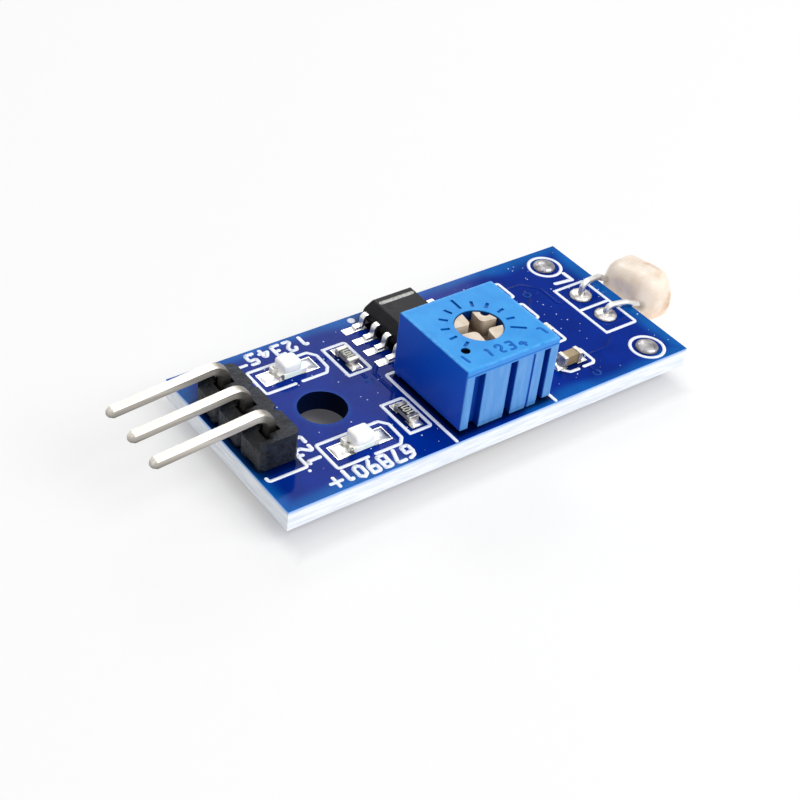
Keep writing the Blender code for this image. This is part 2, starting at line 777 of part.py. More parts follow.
def make_trimmer_inside(element_material, pin_material):
    half = (ELEMENT_LENGTH / 2, ELEMENT_WIDTH / 2)
    top = ELEMENT_LIFT + ELEMENT_THICKNESS
    at = (TRIMMER_X, TRIMMER_Y, 0)
    element = box("trimmer_element", (-half[0], -half[1], ELEMENT_LIFT), (half[0], half[1], top), at=at)
    sockets = [(x, 0) for x in row(3, TRIMMER_PIN_PITCH)]
    cut(element, cylinders("pin_sockets", sockets, TRIMMER_PIN_DIAMETER / 2 + SEAT_GAP, -1,
                           ELEMENT_LIFT + TRIMMER_PIN_INSET, at=at))
    paint(element, element_material)
    for i, (x, y) in enumerate(trimmer_pin_places()):
        pin = cylinders(f"trimmer_pin_{i + 1}", [(0, 0)], TRIMMER_PIN_DIAMETER / 2, tail_end(),
                        ELEMENT_LIFT + TRIMMER_PIN_INSET - SEAT_GAP, at=(x, y, 0))
        shade_round(pin)
        paint(pin, pin_material)


# Solder: a fillet under the board, the filled hole, and a dome on top where a lead leaves upwards

def joint_profile(hole, dome_height):
    under = -BOARD_THICKNESS - COPPER - SEAT_GAP
    barrel = hole / 2 - SEAT_GAP
    foot = JOINT_DIAMETER / 2
    neck = foot * 0.5
    tip = under - TAIL_FILLET
    top = pad_top()
    profile = []
    if dome_height:
        steps = SMALL_BEND_STEPS + 1
        for step in range(steps + 1):
            angle = math.pi / 2 * (1 - step / steps)
            profile.append((foot * math.cos(angle), top + dome_height * math.sin(angle)))
        profile.append((barrel, top))
    else:
        profile += [(0, 0), (barrel, 0)]
    profile += [(barrel, under), (foot, under)]
    for share in (0.35, 0.7, 1.0):
        radius = foot + (neck - foot) * math.sin(share * math.pi / 2)
        profile.append((radius, under + (tip - under) * share))
    profile.append((0, tip))
    return profile


def make_joint(name, at, hole, dome_height, opening, material):
    joint = turned(name, joint_profile(hole, dome_height), at=(*at, 0))
    cut(joint, opening)
    shade_round(joint)
    paint(joint, material)


def make_joints(material):
    bore = PIN_SIDE / 2 + SEAT_GAP
    for i, at in enumerate(header_pin_places()):
        opening = box("header_joint_bore", (-bore, -bore, tail_end() - 1), (bore, bore, 1), at=(*at, 0))
        make_joint(f"header_joint_{i + 1}", at, HEADER_HOLE_DIAMETER, 0, opening, material)
    for i, at in enumerate(trimmer_pin_places()):
        opening = round_opening("trimmer_joint_bore", at, TRIMMER_PIN_DIAMETER)
        make_joint(f"trimmer_joint_{i + 1}", at, TRIMMER_HOLE_DIAMETER, 0, opening, material)
    for i, at in enumerate(sensor_pad_places()):
        opening = round_opening("sensor_joint_bore", at, SENSOR_LEAD_DIAMETER)
        make_joint(f"sensor_joint_{i + 1}", at, SENSOR_HOLE_DIAMETER, SENSOR_JOINT_HEIGHT, opening, material)
    for i, at in enumerate(corner_hole_places()):
        make_corner_joint(f"corner_joint_{i + 1}", at, material)


def round_opening(name, at, lead_diameter):
    radius = lead_diameter / 2 + SEAT_GAP
    return cylinders(name, [(0, 0)], radius, tail_end() - 1, 1, at=(*at, 0))


def make_corner_joint(name, at, material):
    foot = JOINT_DIAMETER / 2
    barrel = CORNER_HOLE_DIAMETER / 2 - SEAT_GAP
    top = pad_top()
    under = -BOARD_THICKNESS - top
    steps = SMALL_BEND_STEPS + 1
    dome = [math.pi / 2 * step / steps for step in range(steps + 1)]
    profile = [(foot * math.sin(angle), top + JOINT_HEIGHT * math.cos(angle)) for angle in dome]
    profile += [(barrel, top), (barrel, under)]
    profile += [(foot * math.sin(angle), under - JOINT_HEIGHT * math.cos(angle)) for angle in dome[::-1]]
    joint = turned(name, profile, at=(*at, 0))
    shade_round(joint)
    paint(joint, material)


# Light-dependent resistor: a coated disc with two flats, standing past the board's end

def sensor_section(x, share):
    radius = SENSOR_DIAMETER / 2 * share
    flat = SENSOR_FLATS / 2 * share
    points = []
    for i in range(2 * TURN_STEPS):
        angle = math.pi * i / TURN_STEPS
        height = max(-flat, min(flat, radius * math.sin(angle)))
        points.append((x, radius * math.cos(angle), height))
    return points


def make_sensor(body_material, lead_material):
    dome = SENSOR_THICKNESS - SENSOR_RIM
    sections = []
    for step in range(BEND_STEPS + 1):
        angle = math.pi / 2 * step / BEND_STEPS
        share = SENSOR_BACK_SHARE + (1 - SENSOR_BACK_SHARE) * math.sin(angle)
        sections.append(sensor_section(dome * (1 - math.cos(angle)), share))
    sections.append(sensor_section(SENSOR_THICKNESS - SENSOR_RIM_EDGE, 1.0))
    sections.append(sensor_section(SENSOR_THICKNESS, SENSOR_FACE_SHARE))
    body = loft("sensor_body", sections, at=(sensor_back(), SENSOR_Y, SENSOR_Z), turn=(SENSOR_ROLL, 0, 0))
    for i in range(2):
        bore = SENSOR_LEAD_DIAMETER + 2 * SEAT_GAP
        cut(body, wire(f"sensor_socket_{i + 1}", sensor_lead_points(i, SEAT_GAP), bore))
    shade_round(body)
    paint(body, body_material)
    for i in range(2):
        lead = wire(f"sensor_lead_{i + 1}", sensor_lead_points(i), SENSOR_LEAD_DIAMETER)
        shade_round(lead)
        paint(lead, lead_material)


# Each lead rises from its pad, bends outwards and dips into the back of the disc
def sensor_lead_points(index, extra=0.0):
    x, y = sensor_pad_places()[index]
    crest = SENSOR_LEAD_CRESTS[index]
    end_y = SENSOR_Y + (index - 0.5) * SENSOR_LEAD_SPREAD
    end_z = SENSOR_Z + SENSOR_LEAD_RISE
    corners = [
        (x, y, tail_end()),
        (x, y, crest),
        (BOARD_LENGTH / 2 - SENSOR_LEAD_KNEE, (y + end_y) / 2, crest - SENSOR_LEAD_SAG),
        (sensor_back() + SENSOR_LEAD_ENTRY, end_y, end_z),
        (sensor_front() - SENSOR_RIM + extra, end_y, end_z),
    ]
    return [spot for spot, heading in rounded_route(corners, SENSOR_LEAD_BEND, SMALL_BEND_STEPS)]


# Chip LED: substrate, two notched terminals and a moulded lens

def make_led(name, at, substrate_material, terminal_material, lens_material):
    low = pad_top()
    half_y = LED_WIDTH / 2
    end = LED_LENGTH / 2
    inner = end - LED_TERMINAL
    where = (*at, 0)
    high = low + LED_BASE
    middle = inner - SEAT_GAP
    substrate = box(f"{name}_substrate", (-middle, -half_y, low), (middle, half_y, high), at=where)
    paint(substrate, substrate_material)
    for i, side in enumerate((-1, 1)):
        xs = sorted((side * inner, side * end))
        terminal = box(f"{name}_terminal_{i + 1}", (xs[0], -half_y, low), (xs[1], half_y, high), at=where)
        notch = cylinders("terminal_notch", [(side * end, 0)], LED_NOTCH_RADIUS, low - 1, high + 1, at=where)
        cut(terminal, notch)
        paint(terminal, terminal_material)
    base = high + SEAT_GAP
    half_length = LED_LENS_LENGTH / 2
    half_width = LED_LENS_WIDTH / 2
    crown = half_length - LED_LENS_DRAFT
    lens = loft(f"{name}_lens", [
        rectangle(-half_length, half_length, half_width, base),
        rectangle(-crown, crown, half_width - LED_LENS_DRAFT, base + LED_LENS_HEIGHT),
    ], at=where)
    round_edges(lens, LED_LENS_DRAFT, segments=2)
    paint(lens, lens_material)


# Chip resistor or capacitor: a ceramic block with a metal cap over each end

def make_chip_part(name, at, turn, height, body_material, cap_material):
    where = {"at": (*at, 0), "turn": (0, 0, turn)}
    low = pad_top()
    high = low + height
    end = CHIP_PART_LENGTH / 2
    half = CHIP_PART_WIDTH / 2
    wall = END_CAP_WALL + SEAT_GAP
    body = box(f"{name}_body", (-end + wall, -half + wall, low + wall),
               (end - wall, half - wall, high - wall), **where)
    paint(body, body_material)
    for i, side in enumerate((-1, 1)):
        xs = sorted((side * (end - END_CAP), side * end))
        cap = box(f"{name}_cap_{i + 1}", (xs[0], -half, low), (xs[1], half, high), **where)
        round_edges(cap, END_CAP_EDGE)
        inside = sorted((side * (end - END_CAP - 1), side * (end - END_CAP_WALL)))
        pocket = box("cap_pocket", (inside[0], -half + END_CAP_WALL, low + END_CAP_WALL),
                     (inside[1], half - END_CAP_WALL, high - END_CAP_WALL), **where)
        cut(cap, pocket)
        paint(cap, cap_material)


def main():
    global parts, cutters, root
    clear_scene()
    parts = new_collection("light_sensor_module")
    cutters = new_collection("cutters")

    # The origin is on the surface that the tails stand on, below the middle of the whole module
    root = bpy.data.objects.new("module", None)
    middle = (HEADER_X - PIN_REACH + sensor_front()) / 2
    root.location = (-middle * MM, 0, -tail_end() * MM)
    root.scale = (MM, MM, MM)
    parts.objects.link(root)

    solder_mask = new_material("blue_solder_mask", (0.012, 0.045, 0.36), 0.35)
    black_nylon = new_material("black_nylon", (0.035, 0.037, 0.045), 0.55)
    tinned_pin = new_material("tinned_pin", (0.80, 0.77, 0.72), 0.3, 1.0)
    black_epoxy = new_material("black_epoxy", (0.03, 0.03, 0.033), 0.5)
    tinned_lead = new_material("tinned_lead", (0.82, 0.82, 0.82), 0.3, 1.0)
    blue_plastic = new_material("blue_plastic", (0.07, 0.33, 0.83), 0.4)
    cream_plastic = new_material("cream_plastic", (0.78, 0.70, 0.56), 0.5)
    brass_spring = new_material("brass_spring", (0.75, 0.58, 0.28), 0.3, 1.0)
    white_ceramic = new_material("white_ceramic", (0.85, 0.84, 0.80), 0.6)
    sensor_resin = new_material("sensor_resin", (0.80, 0.68, 0.55), 0.25)
    solder = new_material("solder", (0.78, 0.78, 0.80), 0.25, 1.0)
    led_laminate = new_material("led_laminate", (0.80, 0.86, 0.80), 0.5)
    clear_resin = new_material("clear_resin", (0.90, 0.92, 0.88), 0.2)
    tan_ceramic = new_material("tan_ceramic", (0.48, 0.34, 0.17), 0.45)
    dark_ceramic = new_material("dark_ceramic", (0.06, 0.06, 0.06), 0.45)

    make_board(solder_mask)
    make_header(black_nylon)
    make_header_pins(tinned_pin)
    make_comparator(black_epoxy, tinned_lead)
    make_trimmer_housing(blue_plastic)
    make_rotor(cream_plastic, brass_spring)
    make_trimmer_inside(white_ceramic, tinned_lead)
    make_sensor(sensor_resin, tinned_lead)
    make_joints(solder)
    for i, at in enumerate(led_places()):
        make_led(f"led_{i + 1}", at, led_laminate, tinned_lead, clear_resin)
    for i, (x, y, turn) in enumerate(resistor_places()):
        make_chip_part(f"resistor_{i + 1}", (x, y), turn, RESISTOR_HEIGHT, dark_ceramic, tinned_lead)
    for i, (x, y, turn) in enumerate(capacitor_places()):
        make_chip_part(f"capacitor_{i + 1}", (x, y), turn, CAPACITOR_HEIGHT, tan_ceramic, tinned_lead)


main()
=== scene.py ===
import math

import bmesh
import bpy
from mathutils import Matrix, Vector, noise


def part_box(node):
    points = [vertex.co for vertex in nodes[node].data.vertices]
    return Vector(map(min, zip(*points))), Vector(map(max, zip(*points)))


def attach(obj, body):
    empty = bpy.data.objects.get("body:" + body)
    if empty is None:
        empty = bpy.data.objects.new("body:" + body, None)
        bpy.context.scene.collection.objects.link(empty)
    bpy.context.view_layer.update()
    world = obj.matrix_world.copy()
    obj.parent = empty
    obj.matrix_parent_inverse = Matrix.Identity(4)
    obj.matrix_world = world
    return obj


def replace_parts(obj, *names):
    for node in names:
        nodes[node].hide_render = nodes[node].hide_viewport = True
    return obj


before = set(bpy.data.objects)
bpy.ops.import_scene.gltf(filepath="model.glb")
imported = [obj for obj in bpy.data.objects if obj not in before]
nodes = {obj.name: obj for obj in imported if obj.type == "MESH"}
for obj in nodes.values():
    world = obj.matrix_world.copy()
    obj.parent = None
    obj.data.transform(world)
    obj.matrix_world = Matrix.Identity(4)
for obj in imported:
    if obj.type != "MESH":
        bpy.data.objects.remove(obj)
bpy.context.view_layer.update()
print("stage: frame loaded,", len(nodes), "solids")

# Sizes are in millimetres on the board: its top is z = 0, its middle x = y = 0, the header at -X
mm = 0.001
boardSizes = {
    "length": 32.0, "width": 14.0, "thickness": 1.45, "copper": 0.035, "holeX": -9.0, "holeY": -0.1,
    "holeRadius": 1.6,
}
lowest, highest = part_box("pcb")
boardTop = Vector(((lowest.x + highest.x) / 2, (lowest.y + highest.y) / 2,
                   highest.z - boardSizes["copper"] * mm))


def onBoard(x, y, z=0.0):
    return boardTop + Vector((x, y, z)) * mm


def addObject(name, data):
    made = bpy.data.objects.new(name, data)
    bpy.context.scene.collection.objects.link(made)
    return made


# Camera: the photograph's own place, aim and lens
cameraSizes = {
    "place": (-52.517, -60.052, 64.125), "ahead": (0.5078007, 0.5925725, -0.6252970),
    "right": (0.8037068, -0.5871938, 0.0962231), "lens": 70.354, "sensor": 36.0, "nearest": 0.002,
    "farthest": 20.0,
}


def makeCamera(sizes):
    lens = bpy.data.cameras.new("studioCamera")
    lens.lens = sizes["lens"]
    lens.sensor_width = sizes["sensor"]
    lens.clip_start = sizes["nearest"]
    lens.clip_end = sizes["farthest"]
    camera = addObject("studioCamera", lens)
    ahead = Vector(sizes["ahead"])
    right = Vector(sizes["right"])
    turn = Matrix((right, right.cross(ahead), -ahead)).transposed()
    camera.matrix_world = Matrix.Translation(Vector(sizes["place"]) * mm) @ turn.to_4x4()
    bpy.context.scene.camera = camera


makeCamera(cameraSizes)


# One function adds any node to a tree: its kind, with the operation after it where it has one, values for
# its sockets in their order, others by name, and its settings. It gives back what comes out of the node,
# one socket, or all of them where there are more
def adderFor(tree):
    def add(kind, *values, sockets=None, **settings):
        kind, *operation = kind.split()
        node = tree.nodes.new(kind if "Node" in kind else "ShaderNode" + kind)
        if operation:
            node.operation = operation[0]
        for key, value in settings.items():
            setattr(node, key, value)
        for key, value in [*enumerate(values), *(sockets or {}).items()]:
            for item in value if isinstance(value, list) else [value]:
                if isinstance(item, bpy.types.NodeSocket):
                    tree.links.new(item, node.inputs[key])
                else:
                    node.inputs[key].default_value = item
        given = [socket for socket in node.outputs if socket.enabled]
        return given[0] if len(given) == 1 else node.outputs
    return add


def colour(hexValue):
    parts = [int(hexValue[i:i + 2], 16) / 255 for i in (1, 3, 5)]
    return (*[c / 12.92 if c <= 0.04045 else ((c + 0.055) / 1.055) ** 2.4 for c in parts], 1.0)


# How far a place meets every limit: each is a value, where it starts to count and where it counts in full
def within(add, *limits, most=1.0, curve="LINEAR"):
    share = most
    for value, start, end in limits:
        share = add("MapRange", value, start, end, 0.0, share, interpolation_type=curve)
    return share


# A colour, as a socket or a hex value, that passes into another as far as the limits are met
def fade(add, tone, other, *limits, **how):
    tones = [colour(each) if isinstance(each, str) else each for each in (tone, other)]
    share = within(add, *limits, **how)
    return add("Mix", share, sockets={6: tones[0], 7: tones[1]}, data_type="RGBA")


# How far inside an oblong a place lies: from its nearer end, and from the nearest of its four sides
def insetIn(add, spot, middle, half):
    away = add("VectorMath SUBTRACT", spot, (*middle, 0.0))
    size = add("VectorMath ABSOLUTE", away)
    left = add("VectorMath SUBTRACT", (*half, 0.0), size)
    x, y, z = add("SeparateXYZ", left)
    return x, add("Math MINIMUM", x, y)


def emptyTree(owner):
    owner.use_nodes = True
    owner.node_tree.nodes.clear()
    return adderFor(owner.node_tree)


# A material whose patterns read the board's own millimetres
def startMaterial(name):
    material = bpy.data.materials.new(name)
    add = emptyTree(material)
    place = add("TexCoord")["Object"]
    spot = add("Mapping", place, sockets={
        "Location": tuple(-boardTop / mm), "Scale": (1 / mm, 1 / mm, 1 / mm)})
    return material, add, spot, add("SeparateXYZ", spot)


def endMaterial(add, sockets):
    add("OutputMaterial", add("BsdfPrincipled", sockets=sockets))


# Two tints that drift, a fine skin, and a sheen that varies with it. Metal, which has a streak, takes
# them all from one pattern that runs along the axis in which it was drawn
def makeFinish(name, sizes, shadeTone=None):
    material, add, spot, at = startMaterial(name)
    if "streak" in sizes:
        along = add("Mapping", spot, sockets={
            "Scale": tuple(1 / size for size in sizes["streak"])})
        grain = add("TexNoise", along, sockets={"Scale": 1.0, "Detail": 4.0})[0]
        tone = fade(add, sizes["deep"], sizes["pale"], (grain, 0.35, 0.68))
        surface = {"Metallic": 1.0}
    else:
        drift = add("TexNoise", spot, sockets={
            "Scale": 1 / sizes["drift"], "Detail": 3.0})[0]
        grain = add("TexNoise", spot, sockets={
            "Scale": 1 / sizes["grain"], "Detail": 4.0, "Roughness": 0.6})[0]
        tone = fade(add, sizes["deep"], sizes["pale"], (drift, 0.35, 0.65))
        surface = {"IOR": sizes["ior"], "Specular IOR Level": sizes.get("specular", 0.5)}
    if shadeTone:
        tone = shadeTone(add, spot, tone, *at)
    if "glow" in sizes:  # painted light: pale layers glow in their own tint
        surface.update({"Emission Color": tone, "Emission Strength": sizes["glow"]})
    least = sizes["roughness"] - sizes["spread"]
    most = sizes["roughness"] + sizes["spread"]
    endMaterial(add, {
        **surface, "Base Color": tone,
        "Roughness": add("MapRange", grain, 0.3, 0.7, least, most),
        "Normal": add("Bump", sockets={
            "Strength": 1.0, "Distance": sizes["depth"] * mm, "Height": grain})})
    return material


# Header pins: their row, and how far the painted shade of each hollow reaches
pinSizes = {
    "y": 0.22, "pitch": 2.54, "hollowX": -14.65, "near": 0.55, "far": 1.35, "bendTop": 3.2,
    "bendFoot": 2.45, "bendStart": -15.35, "bendEnd": -14.9,
}


# painted shade: the nylon darkened to near black round each pin's hollow
def paintHollowShade(add, spot, tone, x, y, z):
    pin = (pinSizes["hollowX"], pinSizes["y"], 0.0)
    half = pinSizes["pitch"] / 2
    row = add("Math WRAP", y, pin[1] + half, pin[1] - half)
    flat = add("CombineXYZ", x, row)
    away = add("VectorMath DISTANCE", flat, pin)
    return fade(add, tone, "#020203", (away, pinSizes["far"], pinSizes["near"]), most=0.92)


# Glass-filled nylon straight from the mould: near black, cloudy and blistered, satin
headerNylon = makeFinish("mouldedNylonCharcoal", dict(deep="#080b12", pale="#1f2734", drift=0.55,
    grain=0.34, depth=0.15, roughness=0.42, spread=0.14, ior=1.53, specular=0.26), paintHollowShade)
# Transfer-moulded epoxy of a chip package: near black, matt, sandy
packageEpoxy = makeFinish("mouldedEpoxyBlack", dict(deep="#0f1014", pale="#1b1a20", drift=1.2, grain=0.06,
    depth=0.008, roughness=0.46, spread=0.08, ior=1.55, specular=0.15))
# Grey print burned into the epoxy by a laser
laserPrint = makeFinish("laserMarkedEpoxy", dict(deep="#a9a9a3", pale="#d6d6d0", drift=0.25, grain=0.06,
    depth=0.006, roughness=0.6, spread=0.06, ior=1.5, specular=0.2))
# The fainter ring left by the mould's ejector pin
ejectorRing = makeFinish("mouldedEjectorRing", dict(deep="#2d2d2c", pale="#42423f", drift=0.3, grain=0.06,
    depth=0.006, roughness=0.6, spread=0.06, ior=1.5, specular=0.15))
# Moulded thermoplastic polyester, with light and shade painted on it: the ribbed front face paler as lit,
# the other walls deeper as shaded, a painted highlight on the lid's edge, painted shade in the recesses,
# sunk marks, rotor's well and mark hole
trimmerSizes = {
    "lidEdgeHighlight": "#62b9fb",
    "rib": "#5496dd",
    "scuff": "#86b6e8",
    "scuffScale": (2.6, 2.6, 0.45),
    "lip": "#3a90e4",
    "wall": "#0052dc",
    "litWallTop": "#0062e2",
    "engravedShade": "#0765b8",
    "recessShade": "#0043ab",
    "top": 4.82,
    "front": -6.43,
    "middle": (0.53, -2.93),
    "half": (3.675, 3.5),
    "rotorWellShade": ((0.44, -2.93), 1.64, "#012c70"),
    "markHoleShade": ((-1.94, -4.6), 0.33, "#010a1c"),
}


def shadeTrimmer(add, spot, tone, x, y, z):
    sizes = trimmerSizes
    top = sizes["top"]
    front = sizes["front"]
    fromEnd, fromSide = insetIn(add, spot, sizes["middle"], sizes["half"])
    # ribs on the front face, painted paler as the lit side, and scuffed along their length
    tall = add("Mapping", spot, sockets={"Scale": sizes["scuffScale"]})
    scuffsAndHighlight = add("TexNoise", tall, sockets={"Scale": 1.0, "Detail": 4.0})[0]
    scuffed = fade(add, sizes["rib"], sizes["scuff"], (scuffsAndHighlight, 0.45, 0.75), most=0.4)
    ribs = fade(add, scuffed, sizes["lip"], (z, top - 0.54, top - 0.48))
    # painted shade: the walls other than the ribbed front are a deeper blue, paler towards the top
    drawn = fade(add, sizes["wall"], sizes["litWallTop"], (z, 1.2, top), most=0.8)
    sides = fade(add, drawn, ribs, (y, front + 0.12, front + 0.03))
    # painted shade in the recesses between the ribs
    sides = fade(add, sides, sizes["recessShade"], (y, front + 1.0, front + 0.9), (y, front + 0.06, front + 0.13),
                 (fromEnd, 0.03, 0.08), (z, top - 0.5, top - 0.54))
    # painted shade on the flanks of what is sunk in the lid, then the lid, with a painted highlight along
    # its edge
    sides = fade(add, sides, sizes["engravedShade"], (fromSide, 0.1, 0.2), (z, top - 0.4, top - 0.3))
    lid = fade(add, tone, sizes["lidEdgeHighlight"], (fromSide, 0.3, 0.02), (scuffsAndHighlight, 0.3, 0.6), most=0.75)
    final = fade(add, sides, lid, (z, top - 0.07, top - 0.015))
    # painted shade in the rotor's well and the blind mark hole
    flat = add("CombineXYZ", x, y)
    for centre, radius, tint in (sizes["rotorWellShade"], sizes["markHoleShade"]):
        off = add("VectorMath DISTANCE", flat, (*centre, 0.0))
        final = fade(add, final, tint, (off, radius + 0.02, radius), (z, top - 0.02, top - 0.12))
    return final


trimmerPolyester = makeFinish("mouldedPolyesterBlue", dict(deep="#1c90e2", pale="#2a9cea", drift=1.6,
    grain=0.12, depth=0.01, roughness=0.4, spread=0.08, ior=1.57, specular=0.2), shadeTrimmer)
# The same polyester in the flanks of moulded numerals, where it lies in its own shade
numeralPolyester = makeFinish("shadedPolyesterBlue", dict(deep="#0a62c2", pale="#166fcc", drift=0.8,
    grain=0.09, depth=0.002, roughness=0.5, spread=0.05, ior=1.57, specular=0.1))


# Painted shade: darker and browner towards the floor of the rotor's slots
def shadeSlots(add, spot, tone, x, y, z):
    return fade(add, tone, "#5a4632", (z, 4.6, 3.65), most=0.82)


# Natural cream nylon of the screwdriver rotor, matt from the tool
rotorNylon = makeFinish("mouldedNylonCream", dict(deep="#d0bda6", pale="#e6d8c6", drift=0.7, grain=0.12,
    depth=0.02, roughness=0.42, spread=0.08, ior=1.53, specular=0.35), shadeSlots)
# Fired alumina: white, dry, fine grained
aluminaCeramic = makeFinish("firedAlumina", dict(deep="#dedbd2", pale="#efede6", drift=1.2, grain=0.05,
    depth=0.004, roughness=0.55, spread=0.06, ior=1.7))


# Only the top of a chip resistor is glazed: its flanks are bare alumina, given a grey-lilac darker than the
# white alumina as painted shade
def bareShadedFlanks(add, spot, tone, x, y, z):
    return fade(add, tone, "#a8a2ad", (z, 0.42, 0.39))


# Overglaze on a chip resistor: glossy black glass
resistorGlaze = makeFinish("glazedBlackCeramic", dict(deep="#0e0f12", pale="#1c1d21", drift=0.4, grain=0.12,
    depth=0.004, roughness=0.26, spread=0.08, ior=1.52, specular=0.3), bareShadedFlanks)
# Barium titanate capacitor body: tan, semi-matt
capacitorCeramic = makeFinish("firedTitanateTan", dict(deep="#8e774f", pale="#a89065", drift=0.5,
    grain=0.06, depth=0.004, roughness=0.4, spread=0.08, ior=1.7))
# Pale green-white laminate under the chip LEDs, with a painted glow in its own tint
ledLaminate = makeFinish("pressedLaminatePale", dict(deep="#e2f3e8", pale="#fafdf8", drift=0.4, grain=0.08,
    depth=0.004, roughness=0.45, spread=0.08, ior=1.5, specular=0.3, glow=0.25))
# Screen-printed white epoxy ink: flat, slightly uneven at its edges, with a faint painted glow
silkInk = makeFinish("screenPrintedInkWhite", dict(deep="#e6edfb", pale="#f3f7ff", drift=0.6, grain=0.1,
    depth=0.002, roughness=0.6, spread=0.06, ior=1.48, specular=0.25, glow=0.12))
# The creamier ink of resistor numbers
codeInk = makeFinish("stampedInkCream", dict(deep="#dcdccb", pale="#f0f0e0", drift=0.3, grain=0.08,
    depth=0.002, roughness=0.6, spread=0.06, ior=1.48, specular=0.25))
# Fine white lint and dust
lint = makeFinish("loosePaleDust", dict(deep="#c3d0f0", pale="#f0f4fd", drift=0.3, grain=0.05, depth=0.002,
    roughness=0.8, spread=0.05, ior=1.45))


# Painted shade: a pin is darkened from its bend on and where it goes down into its hollow, and left bright
# below the board
def shadePinFoot(add, spot, tone, x, y, z):
    aboveBoard = (z, 0.0, 0.3)
    bent = (x, pinSizes["bendStart"], pinSizes["bendEnd"])
    foot = (z, pinSizes["bendTop"], pinSizes["bendFoot"])
    bendShade = fade(add, tone, "#33322f", bent, aboveBoard, most=0.62)
    return fade(add, bendShade, "#2f2b27", foot, aboveBoard, most=0.93)


# Matt tin over brass, drawn along the pin: warm silver with faint lengthwise streaks
pinTin = makeFinish("drawnTinPlate", dict(deep="#ccc5bb", pale="#e5e0d8", streak=(4.0, 0.13, 0.13),
    depth=0.002, roughness=0.52, spread=0.05), shadePinFoot)
# Tin over copper alloy on stamped chip leads and drawn wire
leadTin = makeFinish("stampedTinPlate", dict(deep="#d2d1cf", pale="#efeeec", streak=(1.2, 1.2, 1.2),
    depth=0.0005, roughness=0.3, spread=0.04))
# Fired silver over nickel on the ends of chip parts: pale, nearly matt
endTin = makeFinish("platedChipEnd", dict(deep="#b9b5aa", pale="#e0dccf", streak=(0.3, 0.3, 0.3),
    depth=0.002, roughness=0.42, spread=0.08))
# The same ends on the glazed resistors, duller
dullTin = makeFinish("fluxDulledChipEnd", dict(deep="#908d88", pale="#d6d2c8", streak=(0.3, 0.3, 0.3),
    depth=0.002, roughness=0.4, spread=0.1))


# Painted shade: dark olive patches at the anode end of the LED terminals alone, where the end notches lie in
# shade
def shadeAnodeEnds(add, spot, tone, x, y, z):
    patches = add("TexNoise", spot, sockets={"Scale": 2.3, "Detail": 2.0})[0]
    return fade(add, tone, "#4a4636", (patches, 0.56, 0.62), (x, -9.5, -9.6), most=0.9)


# Thin gold flash on the LED terminals, tinned over by the solder, with a faint painted glow
flashTin = makeFinish("tinnedGoldFlash", dict(deep="#efede6", pale="#fbfaf6", drift=0.3, grain=0.12,
    depth=0.004, roughness=0.4, spread=0.06, ior=1.5, glow=0.1), shadeAnodeEnds)
# Wave-soldered joints: greyer than the pads, softly mottled where they cooled
jointSolder = makeFinish("waveSolder", dict(deep="#7b7a7e", pale="#b3b0b0", streak=(0.5, 0.5, 0.5),
    depth=0.0015, roughness=0.36, spread=0.08))
# The hand-soldered joints of the photocell, brighter
sensorSolder = makeFinish("handSolder", dict(deep="#a5a29e", pale="#dfdbd5", streak=(0.4, 0.4, 0.4),
    depth=0.0015, roughness=0.33, spread=0.08))


# Solder dulls towards the cathode end of the LED pads
def dullCathodes(add, spot, tone, x, y, z):
    return fade(add, tone, "#6d7686", (x, -8.05, -7.35), (x, -6.6, -6.7), most=0.75)


# Reflowed lead-free solder: bright, with soft ripples where it froze
reflowSolder = makeFinish("reflowedSolder", dict(deep="#c9c8c5", pale="#f3f3f1", streak=(0.45, 0.45, 0.45),
    depth=0.004, roughness=0.34, spread=0.08), dullCathodes)
# Rolled spring strip
springBrass = makeFinish("rolledSpringBrass", dict(deep="#a98345", pale="#cfa964", streak=(0.8, 0.06, 0.3),
    depth=0.002, roughness=0.3, spread=0.06))
# Mask over a via: the drilled land shows through a little paler
viaMask = makeFinish("solderMaskOverVia", dict(deep="#0a3f90", pale="#1655a4", drift=0.4, grain=0.1,
    depth=0.003, roughness=0.15, spread=0.03, ior=1.5, specular=0.06))
# Cadmium sulphide fired on the ceramic, and the evaporated metal combs beside it
cellSulphide = makeFinish("firedSulphideRust", dict(deep="#8f3a1c", pale="#b5532a", drift=0.4, grain=0.05,
    depth=0.003, roughness=0.35, spread=0.08, ior=1.6))
combMetal = makeFinish("evaporatedTinComb", dict(deep="#b9b6ae", pale="#dedbd3", streak=(0.3, 0.3, 0.3),
    depth=0.002, roughness=0.3, spread=0.06))


# Solder mask over copper and glass laminate: deep blue where copper lies under it, brighter where only
# laminate does, glossy and mirror-like; bare pads and rings tinned; the routed edge near white
maskSizes = {
    "copper": "#01298a", "laminate": "#0d5cae", "edge": "#dfe3e8", "edgeShade": "#ccd2da",
    "edgeLine": "#5b93da", "edgeLineDepth": 0.3, "edgeGlow": 0.3, "edgeWeave": (0.5, 0.5, 5.0),
    "wall": "#03102e", "pad": "#d9d8d4", "pourFade": 1.25, "pourWander": 0.9, "pourDrift": 0.14,
    "shadedPourReach": {"from": (-7.6, -5.6), "to": (2.2, 0.4), "extra": 1.3}, "roughness": 0.1,
    "padRoughness": 0.3, "edgeRoughness": 0.55, "ripple": 2.2, "rippleDepth": 0.003, "specular": 0.03,
}
# Painted shade round each part on the mask: middle, half size, how far it reaches, how much stays
contactShade = {
    "comparator": ((0.3, 3.7), (1.95, 2.45), 0.62, 0.06),
    "trimmer": ((0.53, -2.93), (3.68, 3.5), 0.5, 0.15),
    "header": ((-14.3, 0.22), (1.35, 3.85), 0.6, 0.3),
    "capacitor": ((7.76, -4.22), (1.0, 0.6), 0.4, 0.4),
    "farResistor": ((-4.9, 3.2), (0.55, 1.0), 0.35, 0.4),
    "nearResistor": ((-4.9, -3.3), (0.55, 1.0), 0.35, 0.4),
}


